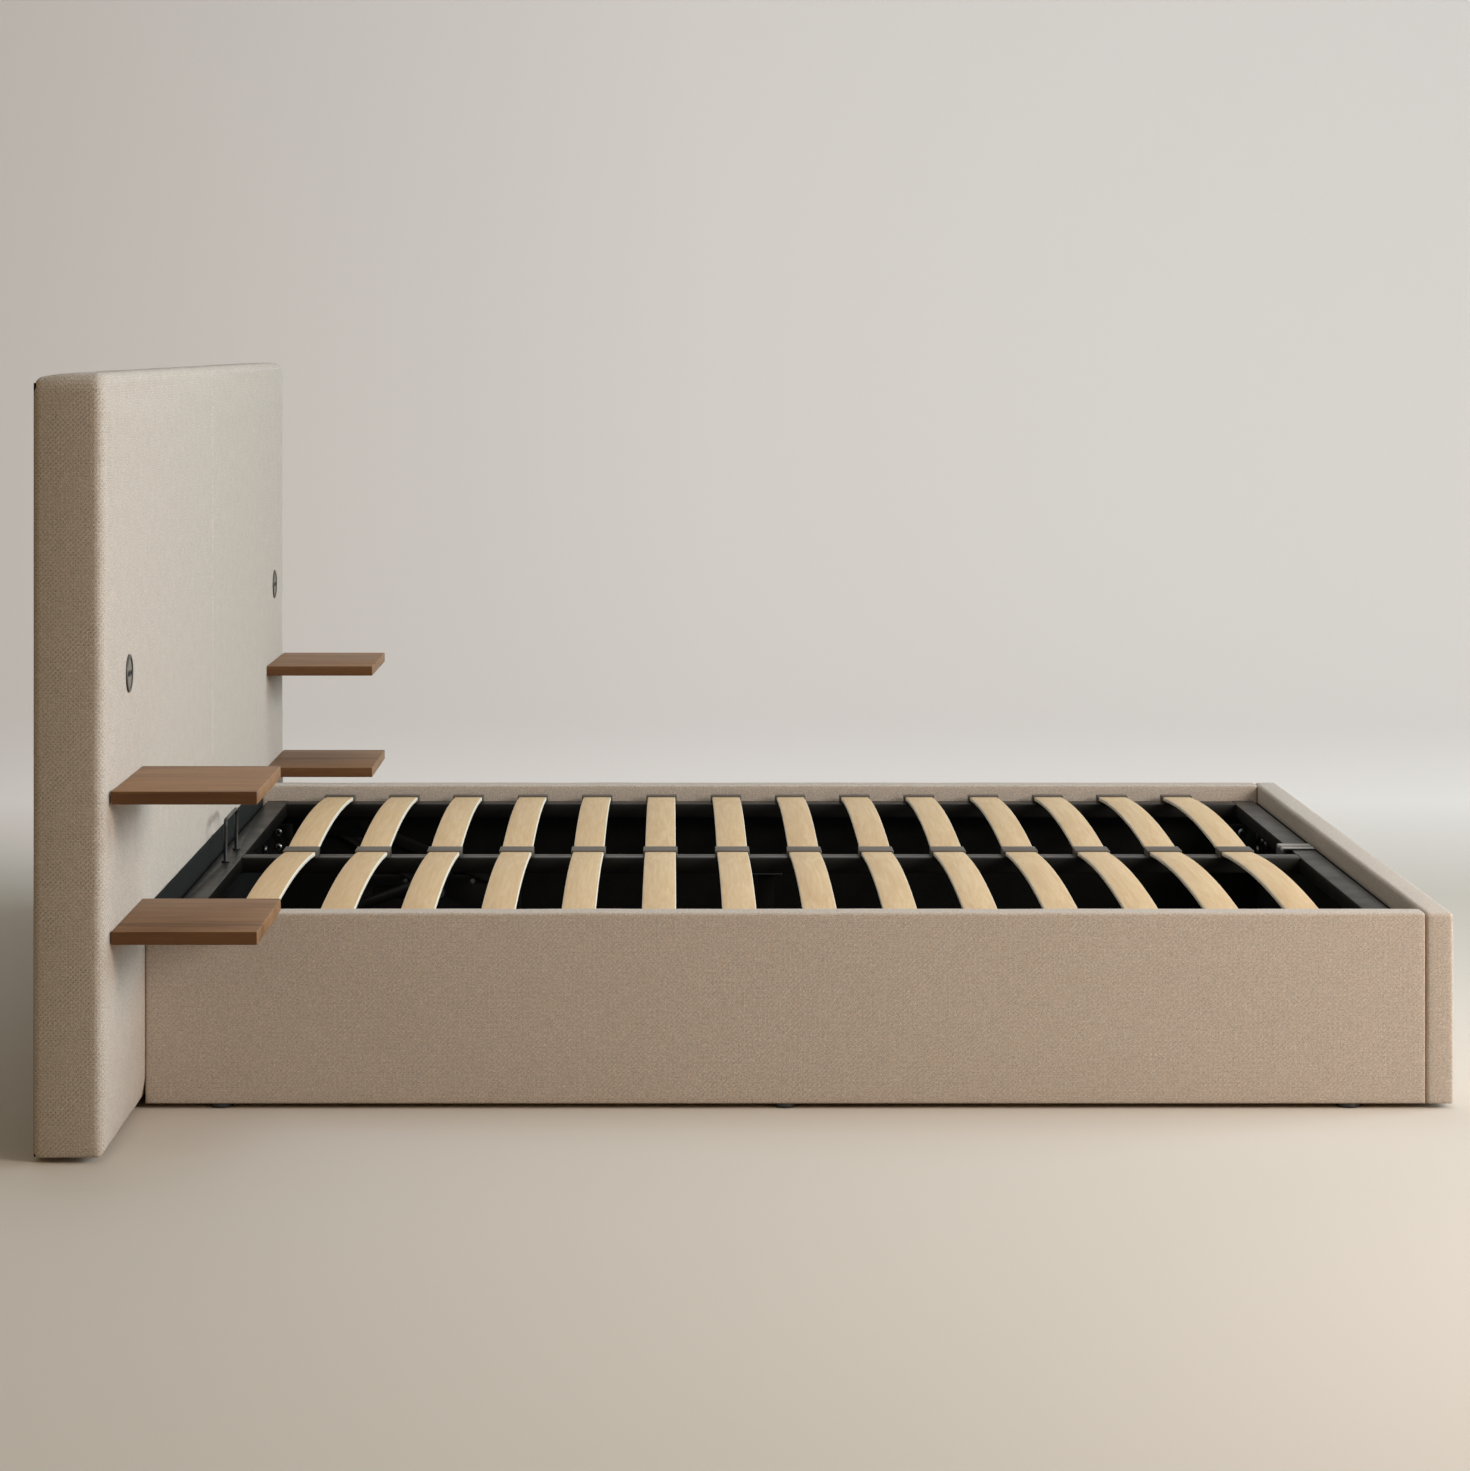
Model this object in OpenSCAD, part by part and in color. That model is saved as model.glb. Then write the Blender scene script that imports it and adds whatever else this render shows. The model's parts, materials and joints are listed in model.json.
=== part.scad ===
// King size ottoman bed: wide headboard, bedside shelves and a slatted frame that lifts at the foot.
// X runs from the headboard to the foot, Y across the bed, Z up from the floor.
// The origin lies on the floor under the middle of the whole bed.

/* [Headboard] */
// Width of the headboard over both wings
headboard_w = 2330; // [2150:10:2600]
// Height of the headboard above the floor
headboard_h = 1182; // [1000:1:1400]
// Thickness of the padded headboard
headboard_t = 112; // [95:1:140]
// Depth of the timber frame inside the padding
timber_depth = 66; // [50:1:75]
// Thickness of the plywood face of the timber frame
timber_skin = 9; // [6:1:12]
// Width of the posts and cross rails of the timber frame
timber_w = 70; // [50:1:90]
// Thickness of the panel that closes the back
back_t = 4; // [3:1:6]
// Padding round the rim of the timber frame
pad_rim = 16; // [10:1:25]
// Roundness of the padded front edge
pad_edge_r = 18; // [12:1:30]
// Roundness of the headboard's upper corners seen from the front
pad_corner_r = 30; // [29:1:60]
// Roundness of its lower corners
pad_low_r = 10; // [6:1:12]
// How far the padded front bulges out
pad_crown = 5; // [2:1:8]
// Width of the band in which the front bulges out
pad_crown_w = 140; // [80:5:200]
// How far the sides are drawn in at the back
pad_pull = 4; // [1:1:8]
// Width of the groove of the seam down the middle
seam_w = 8; // [4:1:12]
// Depth of that groove
seam_depth = 3; // [1:0.5:6]

/* [Shelves] */
// Width of a bedside shelf
shelf_w = 305; // [240:5:330]
// Depth of a bedside shelf from the headboard
shelf_d = 220; // [180:5:260]
// Thickness of a shelf
shelf_t = 20; // [18:1:28]
// Distance from a shelf to the outer edge of the headboard
shelf_inset = 36; // [32:1:60]
// Height of the top of the lower shelves
lower_shelf_z = 341; // [300:1:400]
// Height of the top of the upper shelves
upper_shelf_z = 552; // [500:1:620]
// Diameter of the hidden steel rods that carry a shelf
rod_d = 12; // [10:1:14]
// Distance between the two rods of a shelf
rod_spacing = 180; // [140:5:200]
// Depth that a rod reaches into its shelf
rod_in_shelf = 150; // [100:5:170]
// Depth that a rod reaches into the timber frame
rod_in_timber = 40; // [30:1:45]

/* [Charging sockets] */
// Outer diameter of a socket's bezel
socket_d = 60; // [56:1:70]
// Outer diameter of a socket's sleeve
socket_sleeve_d = 53; // [48:1:54]
// Wall of the sleeve
socket_wall = 3; // [2:0.5:4]
// How far the bezel stands out
bezel_t = 2.5; // [2:0.5:4]
// Height of the sockets
socket_z = 713; // [650:1:800]
// Distance from a socket to the outer edge of the headboard
socket_inset = 205; // [150:1:230]
// Width of a charging port
port_w = 13; // [12:0.5:14]
// Height of a charging port
port_h = 5.6; // [5:0.1:7]
// Distance between the two ports of a socket
port_spacing = 17; // [16:0.5:19]
// Depth of a port
port_depth = 12; // [9:1:14]

/* [Box] */
// Width of the box over both side rails
box_w = 1600; // [1500:10:1700]
// Length of the side rails
rail_l = 2050; // [1950:10:2150]
// Thickness of a padded side rail
rail_t = 45; // [38:1:55]
// Height of a side rail
rail_h = 306; // [290:1:330]
// Thickness of the padded foot panel
foot_t = 46; // [38:1:60]
// Height of the glides under the bed
glide_h = 8; // [6:1:12]
// Diameter of a glide
glide_d = 38; // [30:1:44]
// Distance from the ends and sides of the box to the nearest glides
glide_in = 120; // [80:5:200]
// Padding and fabric over the boards
wrap_t = 4; // [3:0.5:6]
// Roundness of the padded top edges
cover_r = 7; // [6:0.5:9]
// Thickness of the panel across the head end
head_panel_t = 6; // [5:1:8]
// How far that panel stands above the side rails
head_panel_rise = 8; // [0:1:18]
// Width of the cut-outs in its upper corners
head_notch_w = 42; // [20:1:50]
// Depth of those cut-outs below the top of the side rails
head_notch_h = 54; // [30:1:60]
// Thickness of the dark lining inside
lining_t = 1.5; // [1:0.5:2.5]
// Distance from the top of a rail down to the lining
lining_drop = 37; // [25:1:45]
// Thickness of a floor panel
floor_t = 6; // [4:1:9]
// Height of the battens under the floor panels
batten_h = 12; // [10:1:16]
// Width of a side batten
batten_w = 18; // [15:1:25]
// Width of the beam under the joint of the floor panels
beam_w = 60; // [50:1:80]

/* [Corner brackets] */
// Length of a bracket's leg
bracket_leg = 56; // [50:1:70]
// Height of a corner bracket
bracket_h = 64; // [60:1:80]
// Thickness of the bracket steel
bracket_t = 4; // [3:0.5:5]
// Height of the upper bolts
bolt_z = 217; // [205:1:222]
// Distance between the two bolts of a leg
bolt_spacing = 30; // [24:1:34]
// Distance from the corner to the bolts
bolt_out = 34; // [28:1:40]
// Diameter of a bolt
bolt_d = 8; // [6:1:8]
// Diameter of a bolt's head
bolt_head_d = 15; // [13:1:17]
// Height of a bolt's head
bolt_head_h = 4; // [3:0.5:5]
// Depth that a bolt reaches into a board
bolt_grip = 25; // [20:1:30]

/* [Slatted frame] */
// Width of a frame tube
tube_w = 43; // [36:1:50]
// Height of a frame tube
tube_h = 28; // [24:1:32]
// Wall of a frame tube
tube_wall = 1.5; // [1.2:0.1:2.5]
// Distance from the top of the side rails down to the frame
frame_drop = 31; // [26:1:36]
// Gap between the headboard and the frame
frame_head_gap = 12; // [10:1:16]
// Gap between the frame and the foot panel
frame_foot_gap = 12; // [11:1:18]
// Number of slats in a row
slat_count = 14; // [11:1:15]
// Width of a slat
slat_w = 56; // [50:1:63]
// Thickness of a slat
slat_t = 8; // [7:0.5:9]
// Height that a slat bows up in its middle
slat_bow = 15; // [8:1:15]
// Distance from the head bar to the middle of the first slat
slat_head_gap = 108; // [70:1:130]
// Distance from the foot bar to the middle of the last slat
slat_foot_gap = 118; // [70:1:130]
// Length of a slat holder on a side tube
outer_holder_l = 24; // [22:1:40]
// Length of a double holder on the centre rail
inner_holder_l = 56; // [50:1:90]
// Half the distance between the inner ends of two slats
slat_middle_gap = 12; // [8:1:14]
// Wall of a slat holder beside the slat
holder_wall = 3; // [2.5:0.5:4]
// Wall of a slat holder below and above the slat
holder_floor = 2; // [2:0.5:3]
// Diameter of the peg under a holder
peg_d = 10; // [8:1:12]
// Distance from the headboard to the centre leg
leg_x = 1016; // [950:1:1080]
// Width of the centre leg
leg_w = 28; // [25:1:35]

/* [Mattress retainer] */
// Width of the retainer
retainer_w = 160; // [120:5:200]
// Height of the retainer above the frame
retainer_h = 80; // [50:1:85]
// Diameter of its rod
retainer_d = 7; // [5:0.5:8]
// Radius of its bends
retainer_bend = 12; // [8:1:20]

/* [Pull strap] */
// Width of the strap
strap_w = 70; // [30:1:80]
// Thickness of the strap
strap_t = 2; // [1.5:0.5:3]
// Distance from the middle of the bed to the strap
strap_y = 70; // [45:1:120]
// Slack of the strap on the slats' side of the foot bar
strap_slack = 14; // [4:1:20]
// Slack of the strap below the foot bar
strap_hang = 14; // [8:1:30]

/* [Lift linkage] */
// Distance from the headboard to the rear arm's pivot on the rail
rear_base_x = 366; // [360:1:372]
// Height of that pivot
rear_base_z = 93; // [90:1:96]
// Distance from the headboard to the rear arm's pivot on the frame
rear_frame_x = 138; // [135:1:141]
// Height of that pivot
rear_frame_z = 236; // [234:1:237]
// Distance from the headboard to the front arm's pivot on the rail
front_base_x = 513; // [508:1:518]
// Height of that pivot
front_base_z = 106; // [103:1:109]
// Distance from the headboard to the front arm's pivot on the frame
front_frame_x = 208; // [205:1:211]
// Height of that pivot
front_frame_z = 233; // [231:1:234]
// Width of an arm
arm_w = 25; // [22:1:28]
// Thickness of an arm
arm_t = 5; // [4:0.5:6]
// Gap on each side of an arm
arm_gap = 1; // [0.8:0.1:1.5]
// Diameter of a pivot pin
pin_d = 12; // [10:1:12]
// Diameter of a pin's head
pin_head_d = 19; // [17:1:21]
// Height of a pin's head
pin_head_h = 2.5; // [2:0.5:3]
// Thickness of the plate on the rail
plate_t = 4; // [3:0.5:5]
// Height of that plate
plate_h = 92; // [86:1:98]
// How far the plate reaches past its outer pivots
plate_margin = 20; // [17:1:24]
// Diameter of the screws of the plate
screw_d = 5; // [4:0.5:6]
// Diameter of a screw's countersunk head
screw_head_d = 10; // [8:0.5:11]
// Length of a screw of the plate
screw_l = 30; // [25:1:35]

/* [Gas strut] */
// Distance from the headboard to the strut's lower stud
strut_base_x = 169; // [165:1:173]
// Height of the lower stud
strut_base_z = 58; // [56:1:60]
// Distance from the headboard to the strut's upper stud
strut_arm_x = 426; // [424:1:428]
// Height of the upper stud
strut_arm_z = 155; // [153:1:157]
// Diameter of the cylinder
strut_d = 22; // [18:1:22]
// Wall of the cylinder
strut_wall = 2; // [1.5:0.5:3]
// Diameter of the rod
strut_rod_d = 8; // [6:1:10]
// Diameter of a stud and of the eye's bore
stud_d = 8; // [8:1:10]
// Distance from the frame's outer face to the middle of the strut
strut_in = 16.5; // [16.5:0.5:20]

/* [Hidden] */
$fn = 48;

// Colours as the bed shows them
fabric_colour = [0.77, 0.72, 0.65];
walnut_colour = [0.45, 0.33, 0.23];
beech_colour = [0.84, 0.76, 0.63];
steel_colour = [0.36, 0.35, 0.34];
dark_colour = [0.12, 0.12, 0.12];
timber_colour = [0.76, 0.62, 0.44];
zinc_colour = [0.75, 0.76, 0.78];
bezel_colour = [0.27, 0.24, 0.21];
face_colour = [0.55, 0.54, 0.52];
holder_colour = [0.35, 0.31, 0.27];

// Clearances
seat = 0.3;
fit = 0.05;
slide = 0.1;
slot_fit = 0.2;
eps = 0.5;
nibble = 10;

// Places along the bed
x_back = -(headboard_t + rail_l + foot_t) / 2;
x_head = x_back + headboard_t;
x_foot = x_head + rail_l;
x_end = x_foot + foot_t;
x_head_corner = x_head + seat + head_panel_t;
x_foot_corner = x_foot - lining_t;

// Places across the bed
y_out = box_w / 2;
y_in = y_out - rail_t;
y_face = y_in - lining_t;
y_plate = y_face - plate_t;
y_arm_out = y_plate - arm_gap;
y_arm_in = y_arm_out - arm_t;
y_bracket_out = y_arm_in - arm_gap;
frame_half = y_bracket_out - bracket_t;
y_strut = frame_half - strut_in;

// Heights
rail_top = glide_h + rail_h;
frame_top = rail_top - frame_drop;
tube_bottom = frame_top - tube_h;
floor_z = glide_h + batten_h;
floor_top = floor_z + floor_t;
lining_top = rail_top - lining_drop;

// Timber frame of the headboard
timber_half = headboard_w / 2 - pad_rim;
timber_top = headboard_h - pad_rim;
x_timber_front = x_back + timber_depth;
post_y = y_face - bolt_out;
shelf_y = headboard_w / 2 - shelf_inset - shelf_w / 2;
socket_y = headboard_w / 2 - socket_inset;
x_fit = x_head + seat;
lower_rod_z = lower_shelf_z - shelf_t / 2;
upper_rod_z = upper_shelf_z - shelf_t / 2;
shelf_corner_r = 2;

// Slatted frame
frame_x0 = x_head + frame_head_gap;
frame_x1 = x_foot - frame_foot_gap;
tube_x0 = frame_x0 + tube_w;
tube_x1 = frame_x1 - tube_w;
tube_l = tube_x1 - tube_x0;
slat_x0 = tube_x0 + slat_head_gap;
slat_pitch = (tube_l - slat_head_gap - slat_foot_gap) / (slat_count - 1);
holder_edge = 3.5;
holder_corner_r = 2;
slat_outer_y = frame_half - holder_edge - holder_floor - holder_wall;
slat_chord = slat_outer_y - slat_middle_gap;
slat_r = (pow(slat_chord / 2, 2) + pow(slat_bow, 2)) / (2 * slat_bow);
slat_mid_y = slat_middle_gap + slat_chord / 2;
slat_z = frame_top + holder_floor;
slat_rise = 4 * slat_bow / slat_chord;
outer_holder_h = 2 * holder_floor + slat_t + slat_rise * outer_holder_l;
inner_holder_h = 2 * holder_floor + slat_t + slat_rise * (inner_holder_l / 2 - slat_middle_gap);
peg_h = 6;
leg_plate_t = 3;
leg_plate_w = 60;
leg_plate_r = 5;
leg_foot_rim = 3;
leg_foot_r = 4;
leg_foot_h = 12;
leg_wall = 1.5;
plug_t = 3;
plug_in = 15;
retainer_x = frame_x0 + tube_w / 2;
retainer_reach = (retainer_w - retainer_d) / 2;
retainer_hole = 8;
collar_t = 3;
collar_d = 14;

// Pivots of the linkage, as places along the bed and heights
rear_base = [x_head + rear_base_x, rear_base_z];
rear_frame = [x_head + rear_frame_x, rear_frame_z];
front_base = [x_head + front_base_x, front_base_z];
front_frame = [x_head + front_frame_x, front_frame_z];
strut_base = [x_head + strut_base_x, strut_base_z];
strut_arm = [x_head + strut_arm_x, strut_arm_z];
washer_t = arm_gap - seat;
eye_step = 1.5;
plate_x0 = strut_base[0] - plate_margin;
plate_l = front_base[0] + plate_margin - plate_x0;
plate_z0 = strut_base[1] - plate_margin;
plate_corner_r = 14;
screw_in = 13;
screw_shares = [0.38, 0.74];
slot_size = [0.2 * plate_l, 0.3 * plate_h];
slot_place = [0.2 * plate_l, 0.45 * plate_h];
frame_plate_margin = 26;
frame_plate_x0 = rear_frame[0] - frame_plate_margin;
frame_plate_l = front_frame[0] - rear_frame[0] + 2 * frame_plate_margin;
frame_plate_trim = 5;
frame_plate_drop = 2;
frame_plate_z0 = min(rear_frame[1], front_frame[1]) - frame_plate_margin + frame_plate_trim;
frame_plate_h = frame_top - frame_plate_drop - frame_plate_z0;

// Gas strut, measured from its lower stud along its own line
strut_len = norm(strut_arm - strut_base);
strut_angle = atan2(strut_arm[1] - strut_base[1], strut_arm[0] - strut_base[0]);
eye_d = 18;
eye_w = 12;
neck_d = 10;
cylinder_x0 = 18;
rod_out = 38;
cylinder_x1 = strut_len - rod_out;
cap_l = 12;
piston_x = 48;
piston_l = 10;
stud_head_d = 13;
stud_head_h = 3;

// Corner bolts and frame rests
bolt_zs = [bolt_z - bolt_spacing, bolt_z];
bracket_z0 = bolt_z - bolt_spacing - (bracket_h - bolt_spacing) / 2;
head_bolt_grip = seat + head_panel_t + headboard_t - timber_depth + bolt_grip;
rest_w = 90;
rest_pad_t = 2.7;
rest_in = 140;
rest_y = frame_half - rest_in;
rest_h = 60;
rest_top = tube_bottom - seat - rest_pad_t;
rest_bolt_in = [25, 22];
rest_bolt_z = rest_top - rest_h + rest_bolt_in[1];
rest_reach = frame_foot_gap + tube_w * 0.75;
rest_bolt_ys = [rest_y + rest_bolt_in[0], rest_y + rest_w - rest_bolt_in[0]];
rest_pad_in = [3, 15];
rest_pad_r = 4;

// Keeps the far side, or mirrors it to the near side
module side(s) {
    if (s > 0) children();
    else mirror([0, 1, 0]) children();
}

// Turns a flat shape drawn across and up into a bar along the bed
module along_bed(x0, l) {
    translate([x0, 0, 0])
        rotate([90, 0, 90])
            linear_extrude(l)
                children();
}

// Turns a flat shape drawn along and up into a plate whose outer face lies at y1
module upright(y1, t) {
    translate([0, y1, 0])
        rotate([90, 0, 0])
            linear_extrude(t)
                children();
}

// A round bar across the bed at a point of the side view
module cross_pin(p, y0, y1, d) {
    translate([p[0], y1, p[1]])
        rotate([90, 0, 0])
            cylinder(d = d, h = y1 - y0);
}

// A round bar along the bed
module long_pin(x0, x1, y, z, d) {
    translate([x0, y, z])
        rotate([0, 90, 0])
            cylinder(d = d, h = x1 - x0);
}

// A rectangle with round corners
module round_rect(w, h, r) {
    translate([r, 0]) square([w - 2 * r, h]);
    translate([0, r]) square([w, h - 2 * r]);
    for (x = [r, w - r], y = [r, h - r])
        translate([x, y]) circle(r);
}

// A rectangle with only its upper corners round
module round_top_rect(w, h, r) {
    square([w, h - r]);
    translate([r, 0]) square([w - 2 * r, h]);
    for (x = [r, w - r])
        translate([x, h - r]) circle(r);
}

// A rectangular tube's section, centred on its width
module tube_section() {
    difference() {
        translate([-tube_w / 2, 0]) square([tube_w, tube_h]);
        translate([tube_wall - tube_w / 2, tube_wall])
            square([tube_w - 2 * tube_wall, tube_h - 2 * tube_wall]);
    }
}

// Headboard

// Outline of the padding at a given inset from its widest edge
function pad_ring(x, inset) =
    [for (i = [0 : 3], k = [0 : pad_steps])
        let (
            upper = i < 2,
            r = max((upper ? pad_corner_r : pad_low_r) - inset, 1),
            y = (headboard_w / 2 - inset - r) * (i == 0 || i == 3 ? 1 : -1),
            z = upper ? headboard_h - inset - r : glide_h + inset + r,
            a = 90 * i + 90 * k / pad_steps
        )
        [x, y + r * cos(a), z + r * sin(a)]];

pad_steps = 6;
side_steps = 3;
crown_steps = 5;
x_rim = x_head - pad_crown - pad_edge_r;
pad_outlines = concat(
    [for (k = [0 : side_steps - 1])
        [x_back + (x_rim - x_back) * k / side_steps, pad_pull * (1 - sin(90 * k / side_steps))]],
    [for (k = [0 : pad_steps])
        [x_rim + pad_edge_r * sin(90 * k / pad_steps), pad_edge_r * (1 - cos(90 * k / pad_steps))]],
    [for (k = [1 : crown_steps])
        [x_head - pad_crown * pow(1 - k / crown_steps, 2),
         pad_edge_r + (pad_crown_w - pad_edge_r) * k / crown_steps]]
);
ring_n = 4 * (pad_steps + 1);
ring_count = len(pad_outlines);

module pad_form() {
    points = [for (o = pad_outlines) each pad_ring(o[0], o[1])];
    walls = [for (i = [0 : ring_count - 2], k = [0 : ring_n - 1])
        let (
            a = i * ring_n + k,
            b = i * ring_n + (k + 1) % ring_n
        )
        each [[a, a + ring_n, b], [b, a + ring_n, b + ring_n]]];
    back = [[for (k = [0 : ring_n - 1]) k]];
    front = [[for (k = [ring_n - 1 : -1 : 0]) (ring_count - 1) * ring_n + k]];
    polyhedron(points, concat(back, walls, front));
}

// Bores of the rods of all shelves
module shelf_rod_bars(d) {
    for (s = [-1, 1], z = [lower_rod_z, upper_rod_z], y = [-rod_spacing / 2, rod_spacing / 2])
        long_pin(x_timber_front - rod_in_timber, x_fit + rod_in_shelf, s * shelf_y + y, z, d);
}

// Block that holds the timber frame and the back panel
module timber_block(x0, x1) {
    translate([x0, -timber_half, glide_h])
        cube([x1 - x0, 2 * timber_half, timber_top - glide_h]);
}

module headboard_timber() {
    posts = [-timber_half + timber_w / 2, -post_y, 0, post_y, timber_half - timber_w / 2];
    cross_rails = [glide_h + timber_w / 2, lower_rod_z, upper_rod_z, timber_top - timber_w / 2];
    color(timber_colour)
    difference() {
        timber_block(x_back + back_t, x_timber_front);
        for (i = [0 : len(posts) - 2], k = [0 : len(cross_rails) - 2])
            translate([x_back, posts[i] + timber_w / 2, cross_rails[k] + timber_w / 2])
                cube([
                    timber_depth - timber_skin,
                    posts[i + 1] - posts[i] - timber_w,
                    cross_rails[k + 1] - cross_rails[k] - timber_w
                ]);
        shelf_rod_bars(rod_d + 2 * fit);
        head_bolt_bars(bolt_d + 2 * fit);
        socket_bars(socket_sleeve_d + 2 * slide);
    }
}

module headboard_back() {
    color(dark_colour)
        timber_block(x_back, x_back + back_t);
}

module headboard_pad() {
    color(fabric_colour)
    difference() {
        pad_form();
        translate([-eps, 0, -eps])
            timber_block(x_back, x_timber_front + eps);
        timber_block(x_back, x_timber_front);
        shelf_rod_bars(rod_d + 2 * fit);
        head_bolt_bars(bolt_d + 2 * fit);
        socket_bars(socket_sleeve_d + 2 * slide);
        seam_groove();
    }
}

// A narrow groove down the middle of the headboard's front
module seam_groove() {
    linear_extrude(headboard_h + eps)
        polygon([
            [x_head - seam_depth, 0],
            [x_head + eps, -seam_w / 2],
            [x_head + eps, seam_w / 2]
        ]);
}

module shelf(s, top) {
    color(walnut_colour)
    difference() {
        translate([x_fit, s * shelf_y - shelf_w / 2, top - shelf_t])
            linear_extrude(shelf_t)
                round_rect(shelf_d, shelf_w, shelf_corner_r);
        shelf_rod_bars(rod_d + 2 * fit);
    }
}

module shelf_rods() {
    color(zinc_colour)
        shelf_rod_bars(rod_d);
}

// Bores for the sleeves of both sockets
module socket_bars(d) {
    for (s = [-1, 1])
        long_pin(x_back + timber_depth / 2, x_head + eps, s * socket_y, socket_z, d);
}

module socket_bezel(s) {
    sleeve_l = headboard_t - timber_depth - seat;
    inner_r = socket_sleeve_d / 2 - socket_wall;
    color(bezel_colour)
        translate([x_fit, s * socket_y, socket_z])
            rotate([0, 90, 0])
                rotate_extrude()
                    polygon([
                        [inner_r, -sleeve_l],
                        [socket_sleeve_d / 2, -sleeve_l],
                        [socket_sleeve_d / 2, 0],
                        [socket_d / 2, 0],
                        [socket_d / 2, bezel_t * 0.4],
                        [socket_d / 2 - bezel_t * 0.6, bezel_t],
                        [inner_r + bezel_t * 0.4, bezel_t],
                        [inner_r, bezel_t * 0.6]
                    ]);
}

module socket_face(s) {
    face_r = socket_sleeve_d / 2 - socket_wall - slide;
    face_front = bezel_t * 0.4;
    face_l = port_depth + 6;
    color(face_colour)
        translate([x_fit, s * socket_y, socket_z])
            difference() {
                translate([face_front - face_l, 0, 0])
                    rotate([0, 90, 0])
                        cylinder(r = face_r, h = face_l);
                for (y = [-port_spacing / 2, port_spacing / 2])
                    translate([face_front - port_depth, y - port_w / 2, -port_h / 2])
                        cube([port_depth + eps, port_w, port_h]);
            }
}

// Box

// Bolts of the head brackets, as bars of one diameter
module head_bolt_bars(d) {
    for (s = [-1, 1], z = bolt_zs)
        long_pin(
            x_head_corner + bracket_t - head_bolt_grip - bracket_t, x_head_corner + bracket_t,
            s * (y_face - bolt_out), z, d);
}

// Bolts of the foot brackets and of the frame rests
module foot_bolt_bars(d) {
    for (s = [-1, 1]) {
        for (z = bolt_zs)
            long_pin(
                x_foot_corner - bracket_t, x_foot + wrap_t + bolt_grip,
                s * (y_face - bolt_out), z, d);
        for (y = rest_bolt_ys)
            long_pin(x_foot_corner - bracket_t, x_foot + wrap_t + bolt_grip, s * y, rest_bolt_z, d);
    }
}

// Bolts of all brackets through the side rails
module rail_bolt_bars(d) {
    for (s = [-1, 1], x = [x_head + bolt_out, x_foot - bolt_out], z = bolt_zs)
        side(s) cross_pin([x, z], y_face - bracket_t, y_in + wrap_t + bolt_grip, d);
}

module rail_board_block() {
    translate([x_fit, y_in + wrap_t, glide_h])
        cube([rail_l - 2 * seat, rail_t - 2 * wrap_t, rail_h - wrap_t]);
}

module rail_bores(s) {
    rail_bolt_bars(bolt_d + 2 * fit);
    plate_screw_bars(s, fit);
}

module rail_board(s) {
    color(timber_colour)
    difference() {
        side(s) rail_board_block();
        rail_bores(s);
    }
}

module rail_cover(s) {
    color(fabric_colour)
    difference() {
        side(s)
            along_bed(x_fit, rail_l - 2 * seat)
                translate([y_in, glide_h])
                    round_top_rect(rail_t, rail_h, cover_r);
        side(s) rail_board_block();
        rail_bores(s);
    }
}

module foot_board_block() {
    translate([x_foot + wrap_t, wrap_t - y_out, glide_h])
        cube([foot_t - 2 * wrap_t, box_w - 2 * wrap_t, rail_h - wrap_t]);
}

module foot_board() {
    color(timber_colour)
    difference() {
        foot_board_block();
        foot_bolt_bars(bolt_d + 2 * fit);
    }
}

module foot_cover() {
    color(fabric_colour)
    difference() {
        intersection() {
            translate([x_foot, y_out, glide_h])
                rotate([90, 0, 0])
                    linear_extrude(box_w)
                        round_top_rect(foot_t, rail_h, cover_r);
            translate([x_foot, -y_out, 0])
                linear_extrude(rail_top)
                    round_rect(foot_t, box_w, cover_r);
        }
        foot_board_block();
        foot_bolt_bars(bolt_d + 2 * fit);
    }
}

module head_panel() {
    color(dark_colour)
    difference() {
        translate([x_fit, seat - y_in, glide_h])
            cube([head_panel_t, 2 * (y_in - seat), rail_h + head_panel_rise]);
        for (s = [-1, 1])
            side(s)
                translate([x_head, y_in - head_notch_w, rail_top - head_notch_h])
                    cube([head_panel_t + eps, head_notch_w + eps, head_notch_h + head_panel_rise + eps]);
        head_bolt_bars(bolt_d + 2 * fit);
    }
}

module lining(s) {
    color(dark_colour)
    difference() {
        side(s)
            translate([x_head_corner + seat, y_face, floor_top + seat])
                cube([x_foot_corner - x_head_corner - 2 * seat, lining_t, lining_top - floor_top - seat]);
        rail_bores(s);
    }
}

module lining_foot() {
    color(dark_colour)
    difference() {
        translate([x_foot_corner, seat - y_in, floor_top + seat])
            cube([lining_t, 2 * (y_in - seat), lining_top - floor_top - seat]);
        foot_bolt_bars(bolt_d + 2 * fit);
    }
}

module floor_panel(s) {
    color(dark_colour)
    side(s)
        translate([x_head_corner + seat, seat / 2, floor_z])
            cube([x_foot - x_head_corner - 2 * seat, y_in - 1.5 * seat, floor_t]);
}

module floor_battens() {
    color(timber_colour) {
        for (s = [-1, 1])
            side(s)
                translate([x_head_corner + seat, y_in - batten_w, glide_h])
                    cube([x_foot - x_head_corner - 2 * seat, batten_w, batten_h]);
        translate([x_head_corner + seat, -beam_w / 2, glide_h])
            cube([x_foot - x_head_corner - 2 * seat, beam_w, batten_h]);
    }
}

module glides() {
    rail_xs = [x_head + glide_in, (x_head + x_foot) / 2, x_foot - glide_in];
    color(dark_colour) {
        for (y = [-y_out + rail_t / 2, 0, y_out - rail_t / 2], x = rail_xs)
            translate([x, y, 0]) glide();
        for (y = [glide_in - y_out, y_out - glide_in])
            translate([x_foot + foot_t / 2, y, 0]) glide();
        for (y = [-timber_half + timber_w, 0, timber_half - timber_w])
            translate([x_back + timber_depth / 2, y, 0]) glide();
    }
}

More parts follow.
